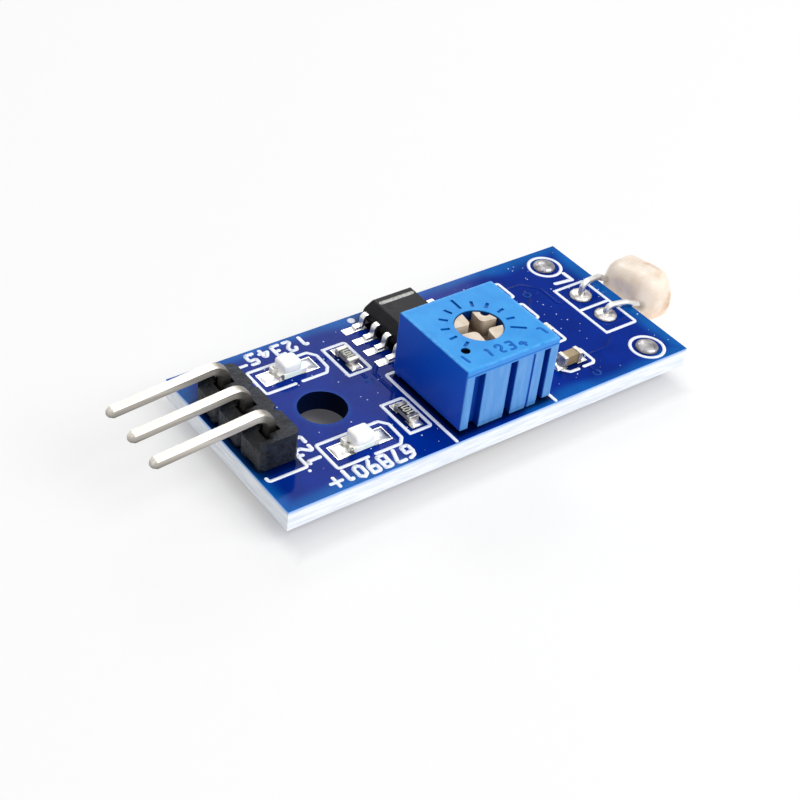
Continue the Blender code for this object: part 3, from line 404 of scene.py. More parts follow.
# How much of its colour the mask keeps beside the parts under the painted shade: each takes its share of
# what is left
def keepContactShade(add, flat, kept):
    for middle, half, reach, least in contactShade.values():
        away = add("VectorMath SUBTRACT", flat, (*middle, 0.0))
        beyond = add("VectorMath SUBTRACT", add("VectorMath ABSOLUTE", away), (*half, 0.0))
        gap = add("VectorMath LENGTH", add("VectorMath MAXIMUM", beyond))
        unshaded = add("MapRange", gap, 0.0, reach, least, 1.0, interpolation_type="SMOOTHSTEP")
        kept = add("Math MULTIPLY", kept, unshaded)
    return kept


def makeMask(sizes):
    material, add, spot, (x, y, z) = startMaterial("glossySolderMaskBlue")
    flat = add("CombineXYZ", x, y)
    inset = insetIn(add, spot, (0.0, 0.0), (boardSizes["length"] / 2, boardSizes["width"] / 2))[1]
    # the copper stops nearer the edge in some places than in others
    slow = add("TexNoise", spot, sockets={"Scale": sizes["pourDrift"], "Detail": 1.0})[0]
    wander = sizes["pourWander"] / 2
    drift = add("MapRange", slow, 0.35, 0.65, -wander, wander)
    # painted shade: before the trimmer the darker copper blue is carried out to the front edge, standing in
    # for the trimmer's shade
    beyond = sizes["shadedPourReach"]
    reach = within(add, (x, *beyond["from"]), (x, *beyond["to"]), (y, 0.0, -1.0), most=beyond["extra"])
    depth = inset
    for more in (drift, reach):
        depth = add("Math ADD", depth, more)
    pour = within(add, (depth, 0.0, sizes["pourFade"]), curve="SMOOTHSTEP")
    # the screw hole's rim has less copper too
    hole = (boardSizes["holeX"], boardSizes["holeY"], 0.0)
    rim = boardSizes["holeRadius"] + 0.09
    fromHole = add("VectorMath DISTANCE", flat, hole)
    thin = add("MapRange", fromHole, rim, rim + 0.26, 0.8, 1.0)
    copper = add("Math MINIMUM", pour, thin)
    blue = fade(add, sizes["laminate"], sizes["copper"], most=copper)
    # copper under the mask swells and sinks a little over millimetres
    cloud = add("TexNoise", spot, sockets={"Scale": 1 / sizes["ripple"], "Detail": 4.0})[0]
    swell = add("MapRange", cloud, 0.3, 0.7, 0.86, 1.16)
    kept = keepContactShade(add, flat, swell)
    mask = add("VectorMath SCALE", blue, sockets={"Scale": kept})
    # raised pads and rings stand a copper's thickness proud on both faces
    proud = boardSizes["copper"] * 0.8
    over = add("Math GREATER_THAN", z, proud)
    under = add("Math LESS_THAN", z, -boardSizes["thickness"] - proud)
    pad = add("Math MAXIMUM", over, under)
    # the cut side walls, where the mask bleeds blue into the first fibres under each face
    upward = add("SeparateXYZ", add("NewGeometry")["True Normal"])[2]
    slope = add("Math ABSOLUTE", upward)
    wall = add("Math LESS_THAN", slope, 0.5)
    outside = add("Math LESS_THAN", inset, 0.05)
    fibres = add("Mapping", spot, sockets={"Scale": sizes["edgeWeave"]})
    weave = add("TexNoise", fibres, sockets={"Scale": 1.0, "Detail": 5.0})[0]
    glass = fade(add, sizes["edgeShade"], sizes["edge"], (weave, 0.36, 0.62))
    bleed = (z, -sizes["edgeLineDepth"], 0.0)
    laminate = fade(add, glass, sizes["edgeLine"], bleed, most=0.85, curve="SMOOTHSTEP")
    # painted shade: the screw hole's wall is dark navy, while the routed outer edge keeps the laminate
    walls = fade(add, sizes["wall"], laminate, most=outside)
    faces = fade(add, mask, sizes["pad"], most=pad)
    metal = within(add, (wall, 1.0, 0.0), most=pad)
    sheen = add("MapRange", metal, 0.0, 1.0, sizes["roughness"], sizes["padRoughness"])
    endMaterial(add, {
        "Base Color": fade(add, faces, walls, most=wall), "Metallic": metal,
        "Roughness": add("MapRange", wall, 0.0, 1.0, sheen, sizes["edgeRoughness"]),
        "Normal": add("Bump", sockets={
            "Strength": 1.0, "Distance": sizes["rippleDepth"] * mm, "Height": cloud}),
        "Specular IOR Level": sizes["specular"],
        # painted light: the cut edge glows in the laminate's tint, standing in for light that the glass
        # fibres carry in from both faces
        "Emission Color": fade(add, "#000000", laminate, (outside, 0.0, 1.0), most=wall),
        "Emission Strength": sizes["edgeGlow"]})
    return material


boardMask = makeMask(maskSizes)


# Dipped epoxy over the photocell: milky cream, wet gloss, amber where it pooled at the rim and the leads
coatSizes = {
    "body": "#d3c3b2", "pale": "#dfd3c6", "amber": "#b07a45", "blush": "#eabf96", "stain": "#6f6654",
    "drift": 1.1, "blotch": 0.55, "rimX": 18.45, "leadX": 16.75, "leadY": (-1.55, 1.75), "leadZ": -0.03,
    "stainRadius": (0.62, 0.2), "roughness": 0.27, "specular": 0.3, "ior": 1.54, "wave": 0.02, "glow": 0.3,
    "milky": 0.45, "carry": (1.0, 0.9, 0.75), "carryScale": 2.2,
}


def makeCoating(sizes):
    material, add, spot, (x, y, z) = startMaterial("dippedEpoxyCream")
    drift = add("TexNoise", spot, sockets={"Scale": 1 / sizes["drift"], "Detail": 3.0})[0]
    blotch = add("TexNoise", spot, sockets={"Scale": sizes["blotch"], "Detail": 2.0})[0]
    tint = fade(add, sizes["body"], sizes["pale"], (drift, 0.35, 0.65))
    # the coat is thinner and warmer low on the disc
    tint = fade(add, tint, sizes["blush"], (z, 0.4, -1.9), most=0.6, curve="SMOOTHSTEP")
    pooled = (x, sizes["rimX"] - 0.5, sizes["rimX"] + 0.35)
    tint = fade(add, tint, sizes["amber"], pooled, (blotch, 0.49, 0.6), most=0.7)
    for leadY in sizes["leadY"]:
        lead = (sizes["leadX"], leadY, sizes["leadZ"])
        away = add("VectorMath DISTANCE", spot, lead)
        tint = fade(add, tint, sizes["stain"], (away, *sizes["stainRadius"]), most=0.75, curve="SMOOTHSTEP")
    # milky epoxy carries light round to the side away from the lamps, and a painted glow in the coat's own
    # tint lifts it further
    endMaterial(add, {
        "Base Color": tint, "Emission Color": tint, "Emission Strength": sizes["glow"],
        "Subsurface Weight": sizes["milky"], "Subsurface Radius": sizes["carry"],
        "Subsurface Scale": sizes["carryScale"] * mm,
        "Normal": add("Bump", sockets={
            "Strength": 1.0, "Distance": sizes["wave"] * mm, "Height": drift}),
        "Roughness": sizes["roughness"], "Specular IOR Level": sizes["specular"], "IOR": sizes["ior"]})
    return material


sensorCoat = makeCoating(coatSizes)


# Cast epoxy over the LED dice: milky clear, the pale green of the chip showing at the cathode end
lensSizes = {
    "milk": "#fdfefb", "green": "#c4f0da", "shade": "#ece6d6", "mottle": 3.4, "greenX": (-8.6, -8.2),
    "wander": 0.25, "roughness": 0.2, "ior": 1.53, "glow": 0.16,
}


def makeLens(sizes):
    material, add, spot, (x, y, z) = startMaterial("castEpoxyMilky")
    cloud = add("TexNoise", spot, sockets={"Scale": sizes["mottle"], "Detail": 3.0})[0]
    wander = add("MapRange", cloud, 0.3, 0.7, -sizes["wander"], sizes["wander"])
    edge = add("Math ADD", x, wander)
    milk = fade(add, sizes["milk"], sizes["shade"], (cloud, 0.6, 0.75), most=0.5)
    tint = fade(add, milk, sizes["green"], (edge, *sizes["greenX"]), most=0.8)
    # painted light: the lens glows in its own tint, standing in for light that milky epoxy passes on from
    # its lit faces to the shaded ones
    endMaterial(add, {
        "Base Color": tint, "Emission Color": tint, "Emission Strength": sizes["glow"],
        "Roughness": sizes["roughness"], "IOR": sizes["ior"]})
    return material


ledEpoxy = makeLens(lensSizes)

finishes = {
    "pcb": boardMask, "header_housing": headerNylon, "header_pin": pinTin, "header_joint": jointSolder,
    "comparator_body": packageEpoxy, "comparator_lead": leadTin, "trimmer_housing": trimmerPolyester,
    "trimmer_element": aluminaCeramic, "trimmer_pin": leadTin, "trimmer_joint": jointSolder,
    "trimmer_rotor": rotorNylon, "trimmer_wiper": springBrass, "sensor_body": sensorCoat,
    "sensor_lead": leadTin, "sensor_joint": sensorSolder, "corner_joint": jointSolder,
    "led_1_substrate": ledLaminate, "led_2_substrate": ledLaminate, "led_1_terminal": flashTin,
    "led_2_terminal": flashTin, "led_1_lens": ledEpoxy, "led_2_lens": ledEpoxy, "resistor": resistorGlaze,
    "capacitor": capacitorCeramic,
}

ends = {"resistor": dullTin, "capacitor": endTin}


# Every solid from the frame takes the finish of the longest name that starts its own
def dressSolids():
    for name, solid in nodes.items():
        match = max((key for key in finishes if name.startswith(key)), key=len)
        finish = ends[match] if "_cap_" in name else finishes[match]
        for place in solid.material_slots:
            place.material = finish
        if not solid.material_slots:
            solid.data.materials.append(finish)


dressSolids()
print("stage: finishes on the solids")


# A piece's object sits at the origin and rides on the board
def addPiece(name, mesh, finish):
    mesh.name = name
    mesh.materials.clear()
    mesh.materials.append(finish)
    piece = addObject(name, mesh)
    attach(piece, "module")
    return piece


def plainMesh(name, spots, edges=(), faces=()):
    mesh = bpy.data.meshes.new(name)
    mesh.from_pydata(spots, edges, faces)
    return mesh


# Geometry Nodes: a new tree with named inputs, and the plain mesh that it grows from a seed
def startTree(name, wanted):
    tree = bpy.data.node_groups.new(name, "GeometryNodeTree")
    tree.interface.new_socket("Seed shape", in_out="INPUT", socket_type="NodeSocketGeometry")
    for label, kind in wanted.items():
        tree.interface.new_socket(label, in_out="INPUT", socket_type="NodeSocket" + kind)
    tree.interface.new_socket("Grown shape", in_out="OUTPUT", socket_type="NodeSocketGeometry")
    add = adderFor(tree)
    return tree, add, add("NodeGroupInput")


def endTree(tree, add, shape, finish):
    real = add("GeometryNodeRealizeInstances", shape)
    dressed = add("GeometryNodeSetMaterial", real, sockets={"Material": finish})
    add("NodeGroupOutput", dressed)
    return tree


def grow(seedMesh, tree, values):
    seed = addObject("seedShape", seedMesh)
    modifier = seed.modifiers.new("grow", "NODES")
    modifier.node_group = tree
    for socket in tree.interface.items_tree:
        if socket.item_type == "SOCKET" and socket.in_out == "INPUT" and socket.name in values:
            modifier[socket.identifier] = values[socket.name]
    bpy.context.view_layer.update()
    graph = bpy.context.evaluated_depsgraph_get()
    grown = bpy.data.meshes.new_from_object(seed.evaluated_get(graph), depsgraph=graph)
    seed.modifiers.remove(modifier)
    bpy.data.objects.remove(seed)
    return grown


# A flat strip along each path, its corners rounded and its ends round, as a pen or plotter draws it
def makeStripTree():
    tree, add, given = startTree("penStrip", {
        "Width": "Float", "Thickness": "Float", "Corner": "Float", "Finish": "Material"})
    path = add("GeometryNodeMeshToCurve", given["Seed shape"])
    level = add("GeometryNodeSetCurveNormal", path, mode="Z_UP")
    rounded = add("GeometryNodeFilletCurve", level, mode="POLY", sockets={
        "Count": 6, "Radius": given["Corner"], "Limit Radius": True})
    section = add("GeometryNodeCurvePrimitiveQuadrilateral", mode="RECTANGLE", sockets={
        "Width": given["Width"], "Height": given["Thickness"]})
    strip = add("GeometryNodeCurveToMesh", rounded, sockets={
        "Profile Curve": section, "Fill Caps": True})
    half = add("Math MULTIPLY", given["Width"], 0.5)
    lower = add("Math MULTIPLY", given["Thickness"], 0.96)
    dot = add("GeometryNodeMeshCylinder", sockets={"Vertices": 16, "Radius": half, "Depth": lower})[0]
    ends = add("GeometryNodeCurveEndpointSelection")
    dots = add("GeometryNodeInstanceOnPoints", level, ends, dot)
    return endTree(tree, add, add("GeometryNodeJoinGeometry", [strip, dots]), given["Finish"])


# A cushion of solder on each point, sized by the point's own half length, half width and height
def makeCushionTree():
    tree, add, given = startTree("solderCushion", {"Finish": "Material", "Rim": "Float"})
    block = add("GeometryNodeMeshCube", (2.0, 2.0, 1.0), 11, 11, 2)[0]
    x, y, z = add("SeparateXYZ", add("GeometryNodeInputPosition"))
    dome = 1.0
    for place in (x, y):
        away = add("Math ABSOLUTE", place)
        steep = add("Math POWER", away, 3.0)
        bulge = add("Math SUBTRACT", 1.0, steep)
        dome = add("Math MULTIPLY", bulge, dome)
    height = add("Math ADD", dome, given["Rim"])
    upper = add("Math GREATER_THAN", z, 0.0)
    # corners drawn in, so that the outline is a rounded oblong
    squeeze = add("MapRange", dome, 0.0, 0.35, 0.93, 1.0)
    moved = [add("Math MULTIPLY", place, share)
             for place, share in ((x, squeeze), (y, squeeze), (upper, height))]
    cushion = add("GeometryNodeSetPosition", block, sockets={
        "Position": add("CombineXYZ", *moved)})
    smooth = add("GeometryNodeSetShadeSmooth", cushion)
    size = add("GeometryNodeInputNamedAttribute", "cushionSize", data_type="FLOAT_VECTOR")[0]
    placed = add("GeometryNodeInstanceOnPoints", given["Seed shape"], sockets={
        "Instance": smooth, "Scale": size})
    return endTree(tree, add, placed, given["Finish"])


# Small low grains strewn over the seed's faces
def makeStrewTree():
    tree, add, given = startTree("strewnGrains", {
        "Density": "Float", "Smallest": "Float", "Largest": "Float", "Seed": "Int", "Finish": "Material"})
    spots = add("GeometryNodeDistributePointsOnFaces", given["Seed shape"], sockets={
        "Density": given["Density"], "Seed": given["Seed"]})[0]
    grain = add("GeometryNodeMeshIcoSphere", 1.0, 1)[0]
    size = add("FunctionNodeRandomValue", data_type="FLOAT", sockets={
        2: given["Smallest"], 3: given["Largest"], "Seed": given["Seed"]})
    low = add("Math MULTIPLY", size, 0.5)
    placed = add("GeometryNodeInstanceOnPoints", spots, sockets={
        "Instance": grain, "Scale": add("CombineXYZ", size, size, low)})
    return endTree(tree, add, placed, given["Finish"])


# Round wire along the seed's path, bent at each of its corners
def makeWireTree():
    tree, add, given = startTree("bentWire", {"Radius": "Float", "Bend": "Float", "Finish": "Material"})
    path = add("GeometryNodeMeshToCurve", given["Seed shape"])
    bent = add("GeometryNodeFilletCurve", path, mode="POLY", sockets={
        "Count": 14, "Radius": given["Bend"], "Limit Radius": True})
    section = add("GeometryNodeCurvePrimitiveCircle", sockets={
        "Resolution": 24, "Radius": given["Radius"]})
    wire = add("GeometryNodeCurveToMesh", bent, sockets={
        "Profile Curve": section, "Fill Caps": True})
    return endTree(tree, add, add("GeometryNodeSetShadeSmooth", wire), given["Finish"])


stripTree = makeStripTree()
cushionTree = makeCushionTree()
strewTree = makeStrewTree()
wireTree = makeWireTree()


# Seed of paths: edges through the corners, closed where a path ends on its first corner. Each lies a hair
# above the last, so that none shares its plane with one that it crosses
pathStagger = {"step": 0.0015, "turns": 5}


def pathSeed(paths, base, step):
    spots = []
    edges = []
    for order, path in enumerate(paths):
        height = base + order % pathStagger["turns"] * step
        closed = path[0] == path[-1]
        corners = path[:-1] if closed else path
        first = len(spots)
        spots += [onBoard(x, y, height) for x, y in corners]
        edges += [(first + i, first + i + 1) for i in range(len(corners) - 1)]
        if closed:
            edges.append((first + len(corners) - 1, first))
    return plainMesh("paths", spots, edges)


def strips(paths, sizes, finish, height=0.0):
    step = sizes.get("step", pathStagger["step"])
    return grow(pathSeed(paths, height + sizes["rise"], step), stripTree, {
        "Width": sizes["width"] * mm, "Thickness": sizes["thickness"] * mm,
        "Corner": sizes["corner"] * mm, "Finish": finish})


def addStrips(name, paths, sizes, finish, height=0.0):
    addPiece(name, strips(paths, sizes, finish, height), finish)


def circle(x, y, radius, steps=32):
    ring = [(x + radius * math.cos(2 * math.pi * i / steps), y + radius * math.sin(2 * math.pi * i / steps))
            for i in range(steps)]
    return ring + ring[:1]


def oblong(left, low, right, high):
    return [(left, low), (right, low), (right, high), (left, high), (left, low)]


# Plain numerals drawn with a pen, in a cell one wide and 1.4 high
numeralStrokes = {
    "0": [[(0.5, 1.4), (0.1, 1.15), (0.1, 0.25), (0.5, 0.0), (0.9, 0.25), (0.9, 1.15), (0.5, 1.4)]],
    "1": [[(0.22, 1.1), (0.55, 1.4), (0.55, 0.0)]],
    "2": [[(0.08, 1.08), (0.2, 1.4), (0.85, 1.4), (0.92, 0.85), (0.08, 0.0), (0.95, 0.0)]],
    "3": [[(0.1, 1.4), (0.9, 1.4), (0.9, 0.75), (0.4, 0.75)], [(0.9, 0.75), (0.92, 0.0), (0.08, 0.0)]],
    "4": [[(0.72, 0.0), (0.72, 1.4), (0.05, 0.42)], [(0.05, 0.42), (0.98, 0.42)]],
    "5": [[(0.9, 1.4), (0.14, 1.4), (0.1, 0.8), (0.92, 0.85), (0.92, 0.0), (0.08, 0.0)]],
    "6": [[(0.85, 1.4), (0.3, 1.2), (0.1, 0.6), (0.12, 0.0), (0.9, 0.0), (0.9, 0.75)],
          [(0.9, 0.75), (0.1, 0.75)]],
    "7": [[(0.05, 1.4), (0.95, 1.4), (0.4, 0.0)]],
    "8": [[(0.5, 1.4), (0.12, 1.35), (0.12, 0.78), (0.88, 0.78), (0.88, 1.35), (0.5, 1.4)],
          [(0.12, 0.78), (0.08, 0.0), (0.92, 0.0), (0.88, 0.78)]],
    "9": [[(0.9, 0.7), (0.1, 0.7), (0.1, 1.4), (0.9, 1.4)], [(0.9, 1.4), (0.9, 0.6), (0.5, 0.0)]],
}


# Numerals from a start point: heading is the reading direction in degrees, pitch the step to the next
def numeralPaths(text, start, height, pitch, heading, wide=0.62):
    cos = math.cos(math.radians(heading))
    sin = math.sin(math.radians(heading))
    paths = []
    for i, letter in enumerate(text):
        for stroke in numeralStrokes[letter]:
            drawn = []
            for u, v in stroke:
                along = i * pitch + u * height * wide
                across = v / 1.4 * height
                drawn.append((start[0] + along * cos - across * sin, start[1] + along * sin + across * cos))
            paths.append(drawn)
    return paths


# Screen print: outlines round each part, rings round the corner holes, signs and plain numbers
printSizes = {
    "width": 0.235, "thickness": 0.03, "rise": 0.006, "corner": 0.16,
    "numberPen": {"width": 0.27, "corner": 0.12}, "barPen": {"width": 0.31, "corner": 0.0},
    "rings": ((13.65, 5.17, 1.17), (13.65, -5.55, 1.17)),
}
outlines = [
    [(-15.55, -3.95), (-15.55, -4.25), (-12.85, -4.25), (-12.85, -3.3)],
    [(-9.17, 2.67), (-11.35, 2.67), (-11.35, 5.05), (-6.82, 5.02), (-6.39, 4.47), (-6.45, 3.13),
     (-6.8, 2.67), (-8.6, 2.67)],
    [(-9.23, -5.33), (-11.4, -5.33), (-11.4, -2.9), (-6.8, -2.93), (-6.35, -3.45), (-6.4, -4.87),
     (-6.8, -5.33), (-8.64, -5.33)],
    oblong(-5.76, 1.66, -4.05, 4.73),
    oblong(-5.72, -4.85, -4.1, -1.79),
    oblong(6.2, 3.37, 9.3, 5.16),
    oblong(6.2, 0.67, 9.3, 2.46),
    oblong(6.2, -2.17, 9.3, -0.3),
    [(8.4, -5.05), (9.2, -5.05), (9.42, -4.85), (9.42, -3.4), (6.1, -3.4)],
    [(7.9, -5.08), (7.2, -5.05), (6.8, -4.6), (6.8, -4.1)],
    [(-3.65, -6.86), (-3.65, 0.58), (4.38, 0.58), (4.38, -6.86)],
    oblong(12.3, -2.97, 15.0, 2.5),
    [(12.35, -0.15), (14.95, -0.15)],
    [(-11.35, 5.77), (-10.9, 5.77)],
    [(-12.55, -6.25), (-11.75, -6.25)],
    [(-12.15, -5.85), (-12.15, -6.65)],
]
bars = [[(12.98, 3.18), (14.36, 3.01)], [(14.36, 3.01), (14.34, 3.88)]]
numbers = [
    {"text": "12345", "start": (-6.05, 6.62), "height": 1.0, "pitch": 0.97, "heading": 180.0},
    {"text": "678901", "start": (-6.45, -5.62), "height": 1.05, "pitch": 0.9, "heading": 180.0},
    {"text": "123", "start": (-11.75, -4.25), "height": 1.05, "pitch": 0.95, "heading": 90.0},
]
dots = {"pinOneDot": (-2.26, 6.51, 0.28), "headerDot": (-12.95, -4.62, 0.12)}


def makePrint(sizes):
    addStrips("printedOutlines", outlines + [circle(*ring) for ring in sizes["rings"]], sizes, silkInk)
    words = [path for number in numbers for path in numeralPaths(**number)]
    addStrips("printedNumbers", words, {**sizes, **sizes["numberPen"]}, silkInk)
    addStrips("printedBars", bars, {**sizes, **sizes["barPen"]}, silkInk)
    for name, (x, y, radius) in dots.items():
        dotPen = {"width": radius * 0.98, "corner": 0.0}
        addStrips(name, [circle(x, y, radius / 2, 16)], {**sizes, **dotPen}, silkInk)


makePrint(printSizes)
print("stage: screen print")

# Traces under the mask on both faces, with their masked vias
traceSizes = {
    "width": 0.3, "thickness": 0.03, "rise": -0.0115, "corner": 0.25, "viaRadius": 0.26,
    "viaPen": {"width": 0.12, "corner": 0.0},
}
topTraces = [
    [(-4.9, 2.0), (-4.9, 0.95)],
    [(-6.9, 3.9), (-6.1, 3.9), (-5.5, 4.2), (-4.9, 4.2)],
    [(-6.9, -4.1), (-6.2, -4.1), (-5.6, -4.35), (-4.9, -4.35)],
    [(-3.5, 1.8), (-4.2, 1.1), (-4.2, -1.2), (-4.75, -1.75), (-4.75, -2.3)],
    [(9.1, 4.27), (10.6, 4.27), (11.6, 3.27), (11.6, 1.2), (13.0, 1.2)],
    [(9.1, 1.55), (10.29, 2.7)],
    [(9.1, -4.22), (11.2, -4.22), (12.4, -3.4)],
    [(8.74, -5.7), (8.74, -5.1)],
]
vias = [(-4.9, 0.67), (8.74, -5.96), (10.29, 3.11)]
underTraces = [
    [(-14.4, 2.8), (-12.9, 4.3), (-6.0, 4.3), (-4.9, 3.2), (-4.9, 0.9)],
    [(-14.4, 0.2), (-12.0, 2.6), (-9.0, 2.6), (-6.6, 0.9), (-2.2, 0.9)],
    [(-14.4, -2.3), (-12.6, -4.1), (-5.0, -4.1), (-3.4, -2.9), (-1.6, -2.9)],
    [(3.6, -2.9), (6.2, -2.9), (8.74, -5.44), (8.74, -5.7)],
    [(13.6, 1.2), (11.9, 2.9), (10.5, 2.9)],
    [(13.6, -1.4), (12.0, -3.0), (8.6, -3.0), (6.0, -0.6), (2.0, -0.6)],
]


def makeTraces(sizes):
    under = -boardSizes["thickness"] - 2 * sizes["rise"] - pathStagger["turns"] * pathStagger["step"]
    lands = [circle(x, y, sizes["viaRadius"], 20) for x, y in vias]
    landSizes = {**sizes, **sizes["viaPen"]}
    addStrips("maskedTracesTop", topTraces, sizes, boardMask)
    addStrips("maskedTracesUnder", underTraces, sizes, boardMask, under)
    addStrips("maskedViasTop", lands, landSizes, viaMask)
    addStrips("maskedViasUnder", lands, landSizes, viaMask, under)


makeTraces(traceSizes)

# Solder on the pads, two to each part: half length along x, half width along y and height over the pad
padLift = 0.6  # share of the copper's thickness
cushionRim = 0.12
cushionSizes = {
    "leads": {"x": 0.3, "y": (1.795, 3.065, 4.335, 5.605), "apart": (2.95, 0.0),
              "cushion": (0.84, 0.3, 0.05)},
    "leds": {"x": -8.95, "y": (-4.07, 3.93), "apart": (1.36, 0.0), "cushion": (0.67, 0.64, 0.12)},
    "front": {"x": -4.9, "y": (3.2, -3.3), "apart": (0.0, 0.88), "cushion": (0.39, 0.4, 0.16)},
    "rear": {"x": 7.76, "y": (4.27, 1.55, -1.24, -4.22), "apart": (0.88, 0.0), "cushion": (0.39, 0.4, 0.16)},
}


def makeCushions(rows):
    spots = []
    cushions = []
    lift = boardSizes["copper"] * padLift
    for row in rows.values():
        apartX, apartY = row["apart"]
        for y in row["y"]:
            for side in (-1, 1):
                spots.append(onBoard(row["x"] + side * apartX, y + side * apartY, lift))
                cushions.append(Vector(row["cushion"]) * mm)
    seed = plainMesh("pads", spots)
    size = seed.attributes.new("cushionSize", "FLOAT_VECTOR", "POINT")
    for i, cushion in enumerate(cushions):
        size.data[i].vector = cushion
    grown = grow(seed, cushionTree, {"Finish": reflowSolder, "Rim": cushionRim})
    addPiece("padSolder", grown, reflowSolder)


makeCushions(cushionSizes)
print("stage: traces and solder")

# Marks on the parts: the chip's bar and round mark, resistor numbers, trimmer numbers and lines
markSizes = {
    "chipTop": 1.62,
    "bar": {"width": 0.33, "thickness": 0.012, "rise": 0.002, "corner": 0.0},
    "barPath": [(-0.72, 5.42), (1.78, 5.42)],
    "round": {"width": 0.07, "thickness": 0.01, "rise": 0.002, "corner": 0.0},
    "roundPath": circle(-0.38, 4.81, 0.22, 20),
    "resistorTop": 0.465,
    "resistor": {"width": 0.105, "thickness": 0.012, "rise": 0.002, "corner": 0.04},
    "resistorText": {"text": "101", "height": 0.52, "pitch": 0.31, "wide": 0.52},
    "resistorStarts": (((-4.63, 2.77), 90.0), ((-4.63, -3.73), 90.0),
                       ((7.33, 4.01), 0.0), ((7.33, 1.29), 0.0)),
    "lidTop": 4.82,
    "lid": {"width": 0.2, "thickness": 0.02, "rise": -0.008, "corner": 0.14, "step": 0.0003},
    "lidText": {"text": "1234", "start": (-1.02, -5.72), "height": 0.74, "pitch": 0.82, "heading": -5.0},
    "lidLines": [[(3.45, -4.99), (3.7, -5.02), (3.74, -5.6)], [(-2.5, -4.95), (-2.42, -5.6)]],
}


def makeMarks(sizes):
    top = sizes["chipTop"]
    addStrips("chipBar", [sizes["barPath"]], sizes["bar"], laserPrint, top)
    addStrips("chipRounds", [sizes["roundPath"]], sizes["round"], ejectorRing, top)
    numerals = []
    for start, heading in sizes["resistorStarts"]:
        numerals += numeralPaths(start=start, heading=heading, **sizes["resistorText"])
    addStrips("resistorNumbers", numerals, sizes["resistor"], codeInk, sizes["resistorTop"])
    lidPaths = numeralPaths(**sizes["lidText"]) + sizes["lidLines"]
    addStrips("trimmerNumbers", lidPaths, sizes["lid"], numeralPolyester, sizes["lidTop"])


makeMarks(markSizes)
print("stage: marks")

# Lint on the mask, as every photographed board has, on the fields between the parts
lintSizes = {"density": 5.5e5, "smallest": 0.012, "largest": 0.065, "seed": 7}
lintFields = [(-12.5, -6.6, -11.0, 6.6), (-11.0, 1.7, -7.2, 6.6), (-11.0, -6.6, -7.2, -1.9),
              (-7.2, -6.6, -3.6, 6.6), (4.4, -6.6, 15.7, 6.6)]


def makeLint(sizes):
    spots = [onBoard(*corner) for field in lintFields for corner in oblong(*field)[:4]]
    seed = plainMesh("fields", spots, faces=[tuple(range(i, i + 4)) for i in range(0, len(spots), 4)])
    grown = grow(seed, strewTree, {
        "Density": sizes["density"], "Smallest": sizes["smallest"] * mm, "Largest": sizes["largest"] * mm,
        "Seed": sizes["seed"], "Finish": lint})
    addPiece("lintSpecks", grown, lint)


makeLint(lintSizes)


# A smooth piece from a shape that is built by hand
def closeShape(shape, name):
    for face in shape.faces:
        face.smooth = True
    mesh = plainMesh(name, [])
    shape.to_mesh(mesh)
    shape.free()
    return mesh


# LED lenses: each a cast block with soft, slightly uneven edges
ledSizes = {
    "x": -8.95, "y": (-4.07, 3.93), "base": 0.3, "top": 1.155, "length": 1.42, "width": 1.25, "round": 0.27,
    "wander": 0.08, "wanderScale": 1.7, "wanderSeed": 7,
}


def makeLenses(sizes):
    block = bmesh.new()
    size = Vector((sizes["length"], sizes["width"], sizes["top"] - sizes["base"])) * mm
    for y in sizes["y"]:
        middle = Matrix.Translation(onBoard(sizes["x"], y, (sizes["base"] + sizes["top"]) / 2))
        made = bmesh.ops.create_cube(block, size=1.0, matrix=middle @ Matrix.Diagonal((*size, 1.0)))
        edges = {edge for vert in made["verts"] for edge in vert.link_edges}
        bmesh.ops.bevel(block, geom=list(edges), offset=sizes["round"] * mm, segments=5, profile=0.5,
                        affect="EDGES")
    floor = onBoard(0, 0, sizes["base"]).z
    noise.seed_set(sizes["wanderSeed"])
    for vert in block.verts:
        if vert.co.z > floor + 0.05 * mm:
            pull = noise.noise_vector(vert.co / mm * sizes["wanderScale"])
            vert.co -= Vector([abs(along) for along in pull]) * sizes["wander"] * mm
    lenses = addPiece("ledLenses", closeShape(block, "lenses"), ledEpoxy)
    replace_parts(lenses, "led_1_lens", "led_2_lens")


makeLenses(ledSizes)

# Photocell: a dipped disc with two flats, domed behind, its clear face over the zigzag cell
cellSizes = {
    "back": 16.4, "thickness": 2.6, "rim": 1.15, "radius": 2.525, "flat": 1.85, "softness": 12.0,
    "backShares": (0.25, 0.5), "domeSteps": 12, "faceRound": 0.22, "faceSteps": 6, "faceSink": 0.03,
    "y": 0.1, "z": -0.15, "roll": -9.0, "steps": 96, "leadSpots": ((0.25, -1.65, 0.12), (0.25, 1.65, 0.12)),
    "leadReach": 0.5, "leadBump": 0.16, "leadFall": 2.5,
}


# The disc's place: turned about its own axis, at a depth behind the leads' bends
def placeCell(sizes, x):
    roll = Matrix.Rotation(math.radians(sizes["roll"]), 4, "X")
    return Matrix.Translation(onBoard(x, sizes["y"], sizes["z"])) @ roll


# A round with two flats, its corners softened
def cellOutline(sizes, share):
    spots = []
    for i in range(sizes["steps"]):
        angle = 2 * math.pi * i / sizes["steps"]
        flat = sizes["flat"] / max(abs(math.sin(angle)), 1e-6)
        both = sizes["radius"] ** -sizes["softness"] + flat ** -sizes["softness"]
        radius = share * both ** (-1 / sizes["softness"])
        spots.append((radius * math.cos(angle), radius * math.sin(angle)))
    return spots


